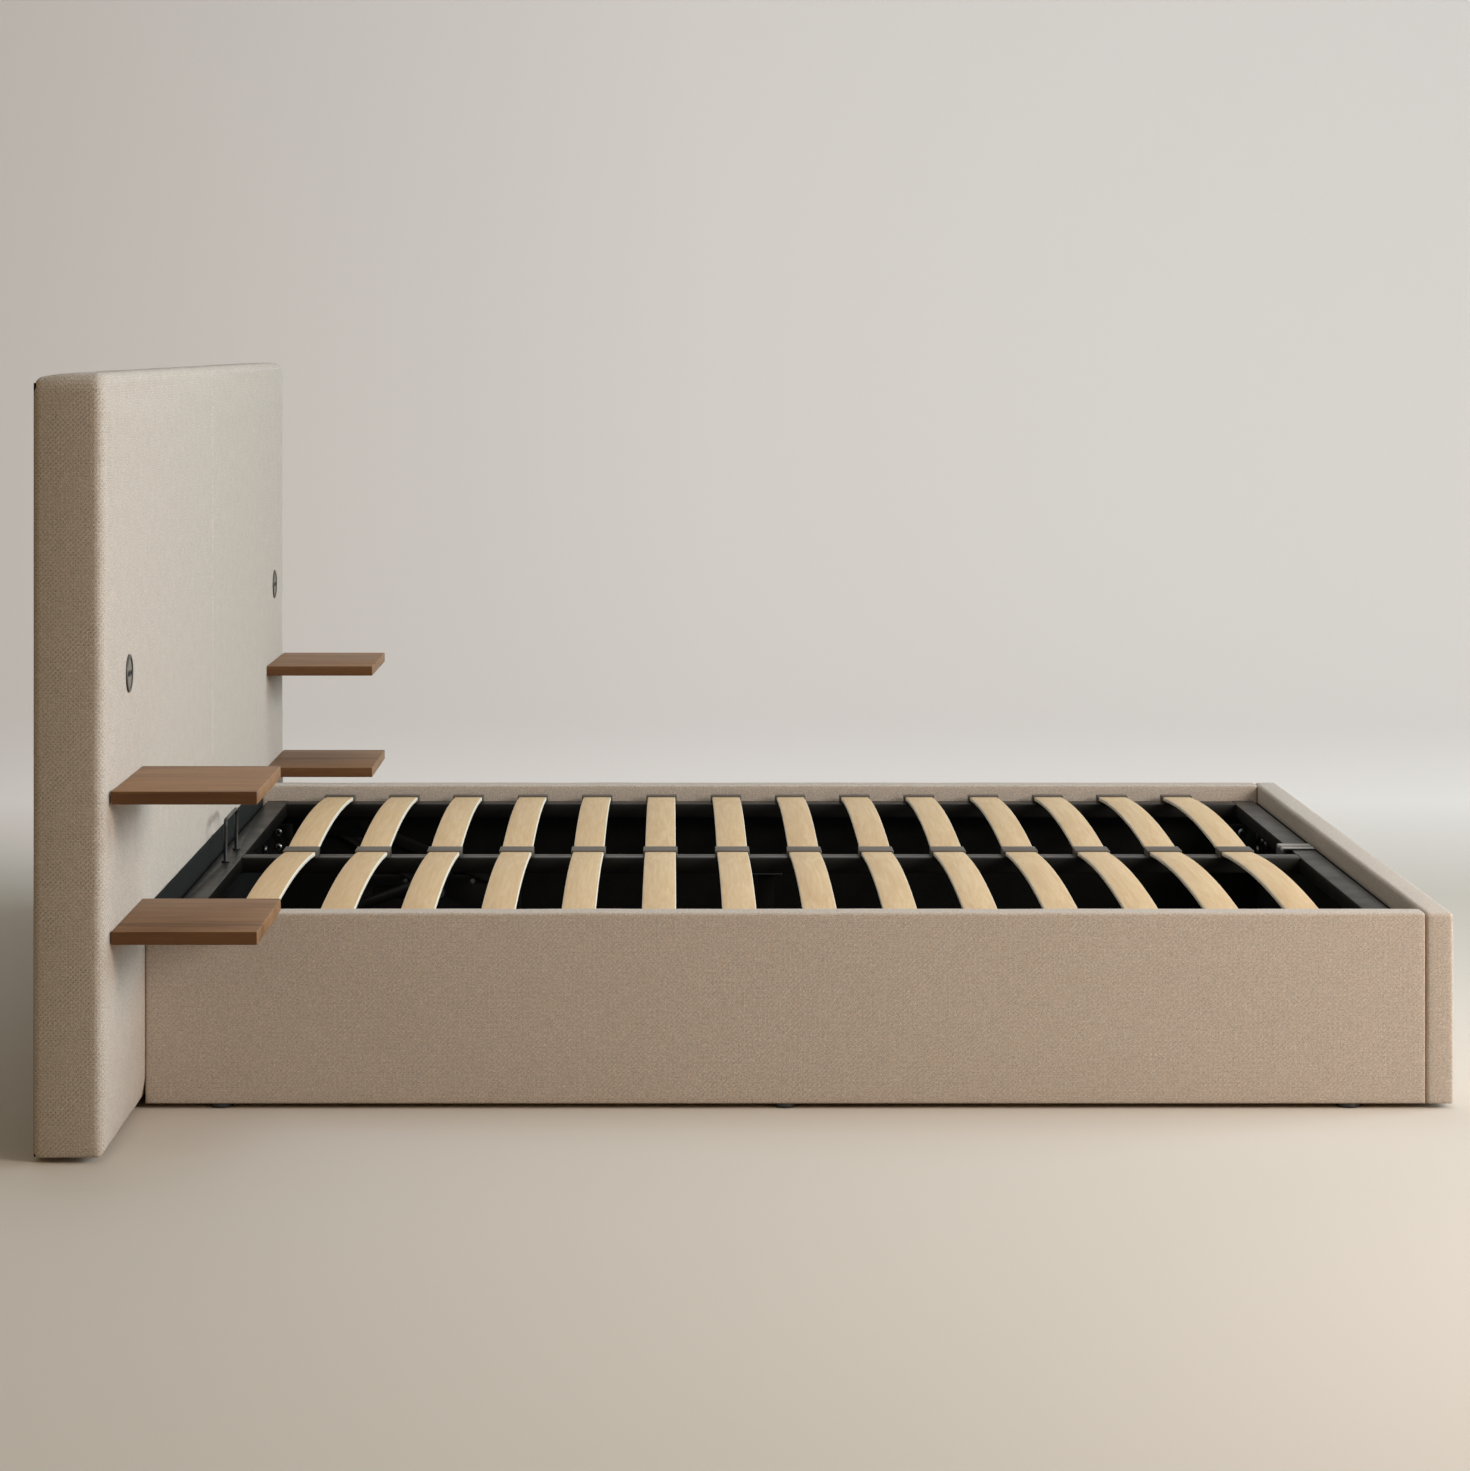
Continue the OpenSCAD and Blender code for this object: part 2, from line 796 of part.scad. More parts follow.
// A plastic disc with a bevelled foot
module glide() {
    bevel = 2;
    cylinder(d1 = glide_d - 2 * bevel, d2 = glide_d, h = bevel);
    translate([0, 0, bevel]) cylinder(d = glide_d, h = glide_h - bevel);
}

module corner_brackets() {
    color(steel_colour)
    difference() {
        for (s = [-1, 1]) {
            side(s) corner_angle(x_head_corner, 1);
            side(s) corner_angle(x_foot_corner, -1);
        }
        head_bolt_bars(bolt_d + 2 * fit);
        foot_bolt_bars(bolt_d + 2 * fit);
        rail_bolt_bars(bolt_d + 2 * fit);
    }
}

// A steel angle in a corner of the box, with its legs towards +X or -X
module corner_angle(x, direction) {
    translate([x, y_face, bracket_z0])
        mirror([direction > 0 ? 0 : 1, 0, 0])
            linear_extrude(bracket_h) {
                translate([seat, -bracket_t]) square([bracket_leg, bracket_t]);
                translate([0, -bracket_leg]) square([bracket_t, bracket_leg - seat]);
            }
}

// A domed head whose seat is its flat side
module bolt_head() {
    cylinder(d = bolt_head_d, h = bolt_head_h / 2);
    translate([0, 0, bolt_head_h / 2])
        cylinder(d1 = bolt_head_d, d2 = bolt_head_d * 0.6, h = bolt_head_h / 2);
}

module panel_bolts() {
    color(zinc_colour) {
        head_bolt_bars(bolt_d);
        foot_bolt_bars(bolt_d);
        rail_bolt_bars(bolt_d);
        for (s = [-1, 1]) {
            for (z = bolt_zs) {
                translate([x_head_corner + bracket_t, s * (y_face - bolt_out), z])
                    rotate([0, 90, 0]) bolt_head();
                translate([x_foot_corner - bracket_t, s * (y_face - bolt_out), z])
                    rotate([0, -90, 0]) bolt_head();
                for (x = [x_head + bolt_out, x_foot - bolt_out])
                    side(s)
                        translate([x, y_face - bracket_t, z])
                            rotate([90, 0, 0]) bolt_head();
            }
            for (y = rest_bolt_ys)
                translate([x_foot_corner - bracket_t, s * y, rest_bolt_z])
                    rotate([0, -90, 0]) bolt_head();
        }
    }
}

// Steel angles on the foot panel that the closed frame rests on
module frame_rests() {
    color(steel_colour)
    difference() {
        for (s = [-1, 1])
            side(s)
                translate([x_foot_corner, rest_y, rest_top]) {
                    translate([-bracket_t, 0, -rest_h]) cube([bracket_t, rest_w, rest_h]);
                    translate([-rest_reach, 0, -bracket_t]) cube([rest_reach, rest_w, bracket_t]);
                }
        foot_bolt_bars(bolt_d + 2 * fit);
    }
}

module rest_pads() {
    pad_w = rest_w - 2 * rest_pad_in[1];
    pad_l = tube_w * 0.6;
    color(dark_colour)
        for (s = [-1, 1])
            side(s)
                translate([x_foot_corner - rest_reach + rest_pad_in[0], rest_y + rest_pad_in[1], rest_top])
                    linear_extrude(rest_pad_t)
                        round_rect(pad_l, pad_w, rest_pad_r);
}

// Slatted frame

module side_tube(s) {
    color(steel_colour)
    difference() {
        side(s)
            along_bed(tube_x0, tube_l)
                translate([frame_half - tube_w / 2, tube_bottom])
                    tube_section();
        side(s) outer_pegs(peg_d + 2 * slide);
        bracket_screw_bars(s, fit);
    }
}

// A tube across the bed
module cross_tube(x) {
    translate([x + tube_w / 2, frame_half, tube_bottom])
        rotate([90, 0, 0])
            linear_extrude(2 * frame_half)
                tube_section();
}

module head_bar() {
    color(steel_colour)
    difference() {
        cross_tube(frame_x0);
        retainer_bores();
    }
}

module foot_bar() {
    color(steel_colour)
        cross_tube(tube_x1);
}

module centre_rail() {
    color(steel_colour)
    difference() {
        along_bed(tube_x0, tube_l)
            translate([0, tube_bottom])
                tube_section();
        at_slats()
            translate([0, 0, frame_top - peg_h])
                cylinder(d = peg_d + 2 * slide, h = peg_h + eps);
    }
}

// Plastic plugs in the open ends of the two cross bars
module tube_plugs() {
    color(dark_colour)
        for (s = [-1, 1], x = [frame_x0, tube_x1])
            side(s)
                translate([x, frame_half, tube_bottom]) {
                    cube([tube_w, plug_t, tube_h]);
                    translate([tube_wall + slide, -plug_in, tube_wall + slide])
                        cube([
                            tube_w - 2 * (tube_wall + slide),
                            plug_in,
                            tube_h - 2 * (tube_wall + slide)
                        ]);
                }
}

// Places its children at every slat's place along the bed
module at_slats() {
    for (i = [0 : slat_count - 1])
        translate([slat_x0 + i * slat_pitch, 0, 0])
            children();
}

// A slat of the far row, bowed upwards, or the slot that it fits
module slat_form(clear) {
    top_r = slat_r + slat_t + clear;
    low_r = slat_r - clear;
    half = slat_chord / 2 + clear;
    window_h = slat_bow + slat_t + nibble;
    translate([-slat_w / 2 - clear, slat_mid_y, slat_z + slat_bow - slat_r])
        rotate([90, 0, 90])
            linear_extrude(slat_w + 2 * clear)
                intersection() {
                    difference() {
                        circle(top_r, $fn = 720);
                        circle(low_r, $fn = 720);
                    }
                    translate([-half, slat_r - slat_bow - nibble / 2])
                        square([2 * half, window_h]);
                }
}

module slats(s) {
    color(beech_colour)
        side(s) at_slats() slat_form(0);
}

// Pegs under the holders of the far side tube
module outer_pegs(d) {
    at_slats()
        translate([0, frame_half - holder_edge - outer_holder_l / 2, frame_top - peg_h])
            cylinder(d = d, h = peg_h + eps);
}

// A block that a slat's end slides into
module holder_block(y0, l, h) {
    w = slat_w + 2 * (holder_wall + slot_fit);
    translate([-w / 2, y0, frame_top])
        linear_extrude(h)
            round_rect(w, l, holder_corner_r);
}

module outer_holders() {
    y0 = frame_half - holder_edge - outer_holder_l;
    color(holder_colour)
        for (s = [-1, 1])
            side(s) {
                at_slats()
                    difference() {
                        holder_block(y0, outer_holder_l, outer_holder_h);
                        slat_form(slot_fit);
                    }
                outer_pegs(peg_d);
            }
}

module inner_holders() {
    color(holder_colour)
        at_slats() {
            difference() {
                holder_block(-inner_holder_l / 2, inner_holder_l, inner_holder_h);
                slat_form(slot_fit);
                mirror([0, 1, 0]) slat_form(slot_fit);
            }
            translate([0, 0, frame_top - peg_h])
                cylinder(d = peg_d, h = peg_h + eps);
        }
}

module centre_leg() {
    leg_bottom = floor_top + seat + leg_foot_h / 3;
    color(dark_colour)
        translate([x_head + leg_x, 0, 0]) {
            translate([-leg_plate_w / 2, -leg_plate_w / 2, tube_bottom - leg_plate_t])
                linear_extrude(leg_plate_t)
                    round_rect(leg_plate_w, leg_plate_w, leg_plate_r);
            translate([-leg_w / 2, -leg_w / 2, leg_bottom])
                linear_extrude(tube_bottom - leg_plate_t - leg_bottom)
                    difference() {
                        square(leg_w);
                        translate([leg_wall, leg_wall]) square(leg_w - 2 * leg_wall);
                    }
        }
}

module leg_foot() {
    outer = leg_w + 2 * leg_foot_rim;
    leg_bottom = floor_top + seat + leg_foot_h / 3;
    color(dark_colour)
        translate([x_head + leg_x, 0, floor_top + seat])
            difference() {
                translate([-outer / 2, -outer / 2, 0])
                    linear_extrude(leg_foot_h)
                        round_rect(outer, outer, leg_foot_r);
                translate([-leg_w / 2 - slide, -leg_w / 2 - slide, leg_bottom - floor_top - seat])
                    cube([leg_w + 2 * slide, leg_w + 2 * slide, leg_foot_h]);
            }
}

// The bores of the retainer's two legs in the head bar
module retainer_bores() {
    for (t = [-1, 1])
        translate([retainer_x, t * retainer_reach, frame_top - retainer_hole])
            cylinder(d = retainer_d + 2 * slide, h = retainer_hole + eps);
}

// A bent rod over the joint of the head bar and the centre rail, with a collar on each leg
module retainers() {
    bend_y = retainer_reach - retainer_bend;
    bar_z = frame_top + retainer_h - retainer_d / 2;
    color(dark_colour)
        translate([retainer_x, 0, 0]) {
            translate([0, bend_y, bar_z])
                rotate([90, 0, 0])
                    cylinder(d = retainer_d, h = 2 * bend_y);
            for (t = [-1, 1])
                side(t) {
                    translate([0, bend_y, bar_z - retainer_bend])
                        rotate([90, 0, 90])
                            rotate_extrude(angle = 90)
                                translate([retainer_bend, 0]) circle(d = retainer_d);
                    translate([0, retainer_reach, frame_top - retainer_hole])
                        cylinder(d = retainer_d, h = bar_z - retainer_bend - frame_top + retainer_hole);
                    translate([0, retainer_reach, frame_top])
                        cylinder(d = collar_d, h = collar_t);
                }
        }
}

// A strap looped round the foot bar, loose towards the slats
module pull_strap() {
    inner_w = tube_w + strap_slack + 2 * seat;
    inner_h = tube_h + strap_hang + 2 * seat;
    color([0.5, 0.49, 0.47])
        translate([tube_x1 - strap_slack - seat, strap_y + strap_w, frame_top + seat - inner_h])
            rotate([90, 0, 0])
                linear_extrude(strap_w)
                    difference() {
                        translate([-strap_t, -strap_t])
                            round_rect(inner_w + 2 * strap_t, inner_h + 2 * strap_t, strap_t + 1);
                        round_rect(inner_w, inner_h, 1);
                    }
}

// Lift linkage

// Places of the screws of the plate on the rail
plate_screw_xs = [
    plate_x0 + screw_in,
    plate_x0 + plate_l * screw_shares[0],
    plate_x0 + plate_l * screw_shares[1]
];
plate_screw_zs = [plate_z0 + screw_in, plate_z0 + plate_h - screw_in];
frame_screw_xs = [for (k = [0 : 2])
    frame_plate_x0 + screw_in + k * (frame_plate_l / 2 - screw_in)];
frame_screw_z = frame_top - tube_h / 2;
frame_screw_l = 14;

// A countersunk screw across the bed whose head lies flush at y0
module sunk_screw(p, y0, l, clear) {
    translate([p[0], y0, p[1]])
        rotate([-90, 0, 0]) {
            cylinder(d = screw_d + 2 * clear, h = l + clear);
            cylinder(
                d1 = screw_head_d + 2 * clear,
                d2 = screw_d + 2 * clear,
                h = (screw_head_d - screw_d) / 2);
        }
}

module plate_screw_bars(s, clear) {
    side(s)
        for (x = plate_screw_xs, z = plate_screw_zs)
            sunk_screw([x, z], y_plate, screw_l, clear);
}

// The screws of a frame bracket point inwards, so they are drawn mirrored about their seat
module bracket_screw_bars(s, clear) {
    side(s)
        for (x = frame_screw_xs)
            translate([0, 2 * y_bracket_out, 0])
                mirror([0, 1, 0])
                    sunk_screw([x, frame_screw_z], y_bracket_out, frame_screw_l, clear);
}

module lift_plate(s) {
    color(steel_colour)
    difference() {
        side(s)
            difference() {
                upright(y_face, plate_t)
                    translate([plate_x0, plate_z0])
                        difference() {
                            round_rect(plate_l, plate_h, plate_corner_r);
                            translate(slot_place)
                                round_rect(slot_size[0], slot_size[1], slot_size[1] / 2 - 1);
                        }
                cross_pin(rear_base, y_plate - eps, y_face + eps, pin_d + 2 * fit);
                cross_pin(front_base, y_plate - eps, y_face + eps, pin_d + 2 * fit);
                cross_pin(strut_base, y_plate - eps, y_face + eps, stud_d + 2 * fit);
            }
        plate_screw_bars(s, fit);
    }
}

module plate_screws() {
    color(zinc_colour)
        for (s = [-1, 1])
            plate_screw_bars(s, 0);
}

// The pins of both arms and the stud of the strut on each plate
module plate_pins() {
    color(zinc_colour)
        for (s = [-1, 1])
            side(s) {
                for (p = [rear_base, front_base]) {
                    cross_pin(p, y_arm_in - seat - pin_head_h, y_face, pin_d);
                    cross_pin(p, y_plate - washer_t, y_plate, pin_head_d);
                    cross_pin(p, y_arm_in - seat - pin_head_h, y_arm_in - seat, pin_head_d);
                }
                cross_pin(strut_base, y_strut - eye_w / 2 - seat - stud_head_h, y_face, stud_d);
                cross_pin(strut_base, y_strut + eye_w / 2 + seat, y_plate, stud_head_d);
                cross_pin(
                    strut_base, y_strut - eye_w / 2 - seat - stud_head_h,
                    y_strut - eye_w / 2 - seat, stud_head_d);
            }
}

// Flat bar between two round eyes, which are wider than the bar
module arm_outline(p, q) {
    l = norm(q - p);
    bar_w = arm_w - 2 * eye_step;
    angle = atan2(q[1] - p[1], q[0] - p[0]);
    translate(p) circle(d = arm_w);
    translate(q) circle(d = arm_w);
    translate(p) rotate(angle) translate([0, -bar_w / 2]) square([l, bar_w]);
}

module rear_arm(s) {
    color(steel_colour)
    side(s)
        difference() {
            upright(y_arm_out, arm_t) arm_outline(rear_base, rear_frame);
            cross_pin(rear_base, y_arm_in - eps, y_arm_out + eps, pin_d + 2 * fit);
            cross_pin(rear_frame, y_arm_in - eps, y_arm_out + eps, pin_d + 2 * fit);
        }
}

// The front arm with its own rivets, which face the frame bracket and the strut's stud
module front_arm(s) {
    color(steel_colour)
    side(s)
        difference() {
            union() {
                upright(y_arm_out, arm_t) {
                    arm_outline(front_base, front_frame);
                    translate(strut_arm) circle(d = arm_w);
                }
                cross_pin(front_frame, y_arm_in - washer_t, y_arm_out + pin_head_h, pin_head_d);
                cross_pin(strut_arm, y_arm_out, y_arm_out + pin_head_h, stud_head_d);
            }
            cross_pin(front_base, y_arm_in - eps, y_arm_out + eps, pin_d + 2 * fit);
        }
}

module frame_bracket(s) {
    color(steel_colour)
    difference() {
        side(s)
            difference() {
                union() {
                    upright(y_bracket_out, bracket_t)
                        translate([frame_plate_x0, frame_plate_z0])
                            round_rect(frame_plate_l, frame_plate_h, plate_corner_r / 2);
                    cross_pin(front_frame, frame_half - pin_head_h, frame_half, pin_head_d);
                }
                cross_pin(rear_frame, frame_half - eps, y_bracket_out + eps, pin_d + 2 * fit);
            }
        bracket_screw_bars(s, fit);
    }
}

// The rear arm's pins on the frame, and the screws of the frame brackets
module bracket_fixings() {
    color(zinc_colour)
        for (s = [-1, 1]) {
            side(s) {
                cross_pin(rear_frame, frame_half, y_arm_out + seat + pin_head_h, pin_d);
                cross_pin(rear_frame, y_bracket_out, y_bracket_out + washer_t, pin_head_d);
                cross_pin(rear_frame, y_arm_out + seat, y_arm_out + seat + pin_head_h, pin_head_d);
            }
            bracket_screw_bars(s, 0);
        }
}

// Gas struts

// Lays a strut drawn along X onto its line between the studs
module on_strut(s) {
    side(s)
        translate([strut_base[0], y_strut, strut_base[1]])
            rotate([0, -strut_angle, 0])
                children();
}

module strut_bar(x0, x1, d) {
    translate([x0, 0, 0])
        rotate([0, 90, 0])
            cylinder(d = d, h = x1 - x0);
}

module strut_eye() {
    translate([0, eye_w / 2, 0])
        rotate([90, 0, 0])
            cylinder(d = eye_d, h = eye_w);
}

module strut_cylinder(s) {
    color(dark_colour)
    on_strut(s)
        difference() {
            union() {
                strut_eye();
                strut_bar(0, cylinder_x0 + eps, neck_d);
                strut_bar(cylinder_x0, cylinder_x1, strut_d);
            }
            translate([0, eye_w, 0])
                rotate([90, 0, 0])
                    cylinder(d = stud_d + 2 * fit, h = 2 * eye_w);
            strut_bar(cylinder_x0 + strut_wall, cylinder_x1 - cap_l, strut_d - 2 * strut_wall);
            strut_bar(cylinder_x1 - cap_l - eps, cylinder_x1 + eps, strut_rod_d + 2 * slide);
        }
}

// The rod with its piston, its eye and the stud that faces the front arm
module strut_rod(s) {
    color(zinc_colour)
    on_strut(s) {
        strut_bar(piston_x, strut_len, strut_rod_d);
        strut_bar(piston_x, piston_x + piston_l, strut_d - 2 * strut_wall - 2 * slide);
        translate([strut_len, 0, 0]) {
            strut_eye();
            translate([0, y_arm_in - seat - y_strut, 0])
                rotate([90, 0, 0])
                    cylinder(d = stud_d, h = y_arm_in - seat - y_strut);
        }
    }
}

headboard_timber();
headboard_back();
headboard_pad();
shelf(-1, lower_shelf_z);  // shelf_near_lower
shelf(-1, upper_shelf_z);  // shelf_near_upper
shelf(1, lower_shelf_z);  // shelf_far_lower
shelf(1, upper_shelf_z);  // shelf_far_upper
shelf_rods();
socket_bezel(-1);  // socket_bezel_near
socket_bezel(1);  // socket_bezel_far
socket_face(-1);  // socket_face_near
socket_face(1);  // socket_face_far
rail_board(-1);  // rail_board_near
rail_board(1);  // rail_board_far
rail_cover(-1);  // rail_cover_near
rail_cover(1);  // rail_cover_far
foot_board();
foot_cover();
head_panel();
lining(-1);  // lining_near
lining(1);  // lining_far
lining_foot();
floor_panel(-1);  // floor_panel_near
floor_panel(1);  // floor_panel_far
floor_battens();
glides();
corner_brackets();
panel_bolts();
frame_rests();
rest_pads();
lift_plate(-1);  // lift_plate_near
lift_plate(1);  // lift_plate_far
plate_screws();
plate_pins();
side_tube(-1);  // side_tube_near
side_tube(1);  // side_tube_far
head_bar();
foot_bar();
centre_rail();
tube_plugs();
slats(-1);  // slats_near
slats(1);  // slats_far
outer_holders();
inner_holders();
centre_leg();
leg_foot();
retainers();
pull_strap();
frame_bracket(-1);  // frame_bracket_near
frame_bracket(1);  // frame_bracket_far
bracket_fixings();
rear_arm(-1);  // rear_arm_near
rear_arm(1);  // rear_arm_far
front_arm(-1);  // front_arm_near
front_arm(1);  // front_arm_far
strut_cylinder(-1);  // strut_cylinder_near
strut_cylinder(1);  // strut_cylinder_far
strut_rod(-1);  // strut_rod_near
strut_rod(1);  // strut_rod_far
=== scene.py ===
import functools
import json
import math

import bmesh
import bpy
from bpy.props import FloatProperty, FloatVectorProperty, PointerProperty
from mathutils import Matrix, Vector, noise


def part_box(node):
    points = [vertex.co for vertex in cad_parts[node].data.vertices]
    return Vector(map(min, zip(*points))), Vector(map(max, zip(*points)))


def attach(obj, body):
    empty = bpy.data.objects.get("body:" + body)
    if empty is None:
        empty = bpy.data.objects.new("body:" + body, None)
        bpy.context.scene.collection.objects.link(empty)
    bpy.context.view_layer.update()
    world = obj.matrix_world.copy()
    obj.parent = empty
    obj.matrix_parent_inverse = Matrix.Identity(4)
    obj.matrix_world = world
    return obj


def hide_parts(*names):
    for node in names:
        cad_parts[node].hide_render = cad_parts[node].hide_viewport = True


bl_info = {
    "name": "Ottoman bed",
    "version": (1, 0, 0),
    "blender": (4, 5, 0),
    "location": "3D View > Sidebar > Bed",
    "description": "Dresses the frame of an upholstered ottoman bed in fabric, wood, steel and plastic",
    "category": "Object",
}

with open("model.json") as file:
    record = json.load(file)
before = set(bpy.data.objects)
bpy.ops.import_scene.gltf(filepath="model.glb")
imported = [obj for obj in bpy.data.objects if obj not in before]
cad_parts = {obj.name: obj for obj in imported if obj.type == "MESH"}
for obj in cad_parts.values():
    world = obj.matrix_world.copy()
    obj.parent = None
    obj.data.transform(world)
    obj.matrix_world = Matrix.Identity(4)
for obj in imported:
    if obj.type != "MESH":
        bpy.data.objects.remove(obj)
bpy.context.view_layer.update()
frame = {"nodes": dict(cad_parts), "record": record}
SIDES = ("near", "far")
NEAR = 1e-4  # how close a point lies to a face of a box that it belongs to
LINE_LIMIT = math.radians(0.5)  # below this angle, a line across a face of the CAD goes
# The weave's dark pits are painted shade between the threads.
PIT_PERIOD = 2.7  # threads from one dark pit of the weave to the next
FLAT_PITS = 0.3  # share of the pits that stays open on a flat board
PLY_THICKNESS = 0.0016
BACK_SUNK = 0.002  # how deep the pad's back lies in the panel that closes it
SLAT_WIDTH, SLAT_THICKNESS, SLAT_BOW = 0.056, 0.008, 0.015
FLOOR_REACH, BACKDROP_RADIUS, BACKDROP_PLACE, BACKDROP_RISE = 40, 2.5, 7.0, 6
SIDE_LAMP_PLACE = (3.2, -2.6, 2.0)


def paint(red, green, blue):
    """A colour given as 0 to 255 on screen, as the linear values that shaders use."""
    return tuple(
        value / 255 / 12.92 if value <= 10 else ((value / 255 + 0.055) / 1.055) ** 2.4
        for value in (red, green, blue)
    )


def hue(name, coloured, default):
    return FloatVectorProperty(
        name=name, description="Colour of " + coloured, default=default, subtype="COLOR", min=0, max=1
    )


def measure(name, description, default, largest):
    return FloatProperty(
        name=name, description=description, default=default, min=0, max=largest, unit="LENGTH"
    )


def roundness(name, rounded, default, largest):
    return measure(name, "Roundness of " + rounded, default, largest)


def power(name, description, default):
    return FloatProperty(name=name, description=description, default=default, min=0, unit="POWER")


# Settings


class UpholsterySettings(bpy.types.PropertyGroup):
    fabric: hue("Fabric", "the woven upholstery", paint(216, 203, 190))
    thread: measure("Thread", "Width of one thread of the weave", 0.002, 0.01)
    pad_corner: roundness("Corner radius", "the headboard's corners seen from the front", 0.034, 0.1)
    pad_low: roundness("Lower corner radius", "the headboard's lower corners", 0.010, 0.02)
    pad_rim: roundness("Rim radius", "the headboard's padded front edge", 0.0185, 0.05)
    pad_crown: measure("Crown", "How far the padding falls back towards the rim", 0.003, 0.02)
    pad_pull: measure("Pull", "How far the sides are drawn in at the back", 0.011, 0.02)
    pad_back: roundness("Back radius", "the headboard's edges at the back", 0.009, 0.02)
    pad_slump: measure("Slump", "How far the top falls away towards the back", 0.0085, 0.02)
    seam_depth: measure("Seam depth", "Depth of the seam down the middle", 0.0035, 0.01)
    pucker: measure("Puckers", "Height of the small puckers along the rim", 0.0016, 0.01)
    swell: measure("Swell", "How far the headboard's cover may swell out over its padding", 0.006, 0.02)
    rail_edge: roundness("Rail edge", "the rails' padded top edges", 0.008, 0.02)
    lining: hue("Lining", "the lining inside the box", paint(24, 25, 24))


class WoodSettings(bpy.types.PropertyGroup):
    walnut: hue("Walnut", "the shelves", paint(150, 109, 70))
    walnut_dark: hue("Walnut grain", "the shelves' dark grain", paint(80, 45, 17))
    beech: hue("Beech", "the slats", paint(235, 205, 160))
    beech_dark: hue("Beech grain", "the slats' darker grain", paint(216, 177, 126))
    # Partly the planed edges' own paler colour, partly a painted highlight on the slats' side faces.
    beech_cut_and_highlight: hue("Beech edge", "the planed edges of the slats", paint(252, 244, 228))
    slat_edge: roundness("Slat edge", "a slat's edges", 0.0022, 0.004)
    shelf_edge: roundness("Shelf edge", "a shelf's edges", 0.0016, 0.005)


class MetalSettings(bpy.types.PropertyGroup):
    frame_paint: hue("Frame", "the painted tubes", paint(26, 25, 22))
    fitting_paint: hue("Fittings", "the painted plates, arms and brackets", paint(22, 22, 22))
    black_paint: hue("Black steel", "the black steel parts", paint(34, 34, 34))
    zinc: hue("Zinc", "the plated screws, bolts and pins", paint(212, 214, 218))
    edge: roundness("Edge", "the steel parts' edges", 0.0006, 0.002)


class PlasticSettings(bpy.types.PropertyGroup):
    holder: hue("Holders", "the slat holders", paint(84, 76, 66))
    black: hue("Black plastic", "glides, plugs and pads", paint(34, 34, 34))
    bezel: hue("Bezel", "the rings of the charging sockets", paint(58, 50, 40))
    face: hue("Socket face", "the discs of the charging sockets", paint(112, 104, 90))
    edge: roundness("Edge", "the plastic parts' edges", 0.0007, 0.002)


class StageSettings(bpy.types.PropertyGroup):
    floor: hue("Floor", "the floor and backdrop", paint(221, 212, 201))
    window: power("Window", "Power of the large soft lamp beyond the foot end", 369)
    side: power("Side light", "Power of the soft lamp beside the foot end", 101)
    top: power("Top light", "Power of the soft lamp above the bed", 74)
    sky: FloatProperty(name="Sky", description="Brightness of the sky", default=0.224, min=0, max=2)
    window_tint: hue("Window colour", "the light from beyond the foot end", (0.658, 0.867, 1.0))
    side_tint: hue("Side colour", "the light from beside the foot end", (1.0, 0.9, 0.83))
    top_tint: hue("Top colour", "the light from above", (0.678, 0.842, 1.0))
    sky_tint: hue("Sky colour", "the light from all round", (1.0, 0.75, 0.41))
    haze: hue("Haze", "the sky and the floor's far ends, as the camera sees them", paint(206, 201, 195))
    glow: hue("Wall", "light that only the camera and mirrors see", (0.305, 0.303, 0.317))
    lens: FloatProperty(
        name="Lens", description="Focal length of the camera", default=82.714, min=20, max=200, unit="CAMERA"
    )


def settings(group):
    return getattr(bpy.context.scene, group)


# Shader building


class Nodes:
    """A node tree in the making: adds shader nodes, sets their sockets and links them."""

    def __init__(self, tree):
        self.tree = tree

    def node(self, kind, inputs=None, **options):
        made = self.tree.nodes.new("ShaderNode" + kind)
        for option, value in options.items():
            setattr(made, option, value)
        for key, value in (inputs or {}).items():
            self.put(made.inputs[key], value)
        return made

    def put(self, socket, value):
        if isinstance(value, bpy.types.NodeSocket):
            self.tree.links.new(value, socket)
        elif socket.type == "RGBA":
            socket.default_value = (*value[:3], 1.0)
        else:
            socket.default_value = value

    def between(self, value, low, high, new_low=0.0, new_high=1.0):
        return self.node("MapRange", {0: value, 1: low, 2: high, 3: new_low, 4: new_high}).outputs[0]

    def math(self, operation, first, second=0.0):
        return self.node("Math", {0: first, 1: second}, operation=operation).outputs[0]

    def times(self, first, second):
        return self.math("MULTIPLY", first, second)

    def mix(self, factor, first, second):
        return self.node("Mix", {0: factor, 6: first, 7: second}, data_type="RGBA").outputs[2]

    def blend(self, factor, first, second):
        return self.node("Mix", {0: factor, 2: first, 3: second}, data_type="FLOAT").outputs[0]

    def seen(self):
        """1 for what the camera and mirror images see, 0 for the light that falls on things."""
        rays = self.node("LightPath").outputs
        return self.math("MAXIMUM", rays["Is Camera Ray"], rays["Is Glossy Ray"])


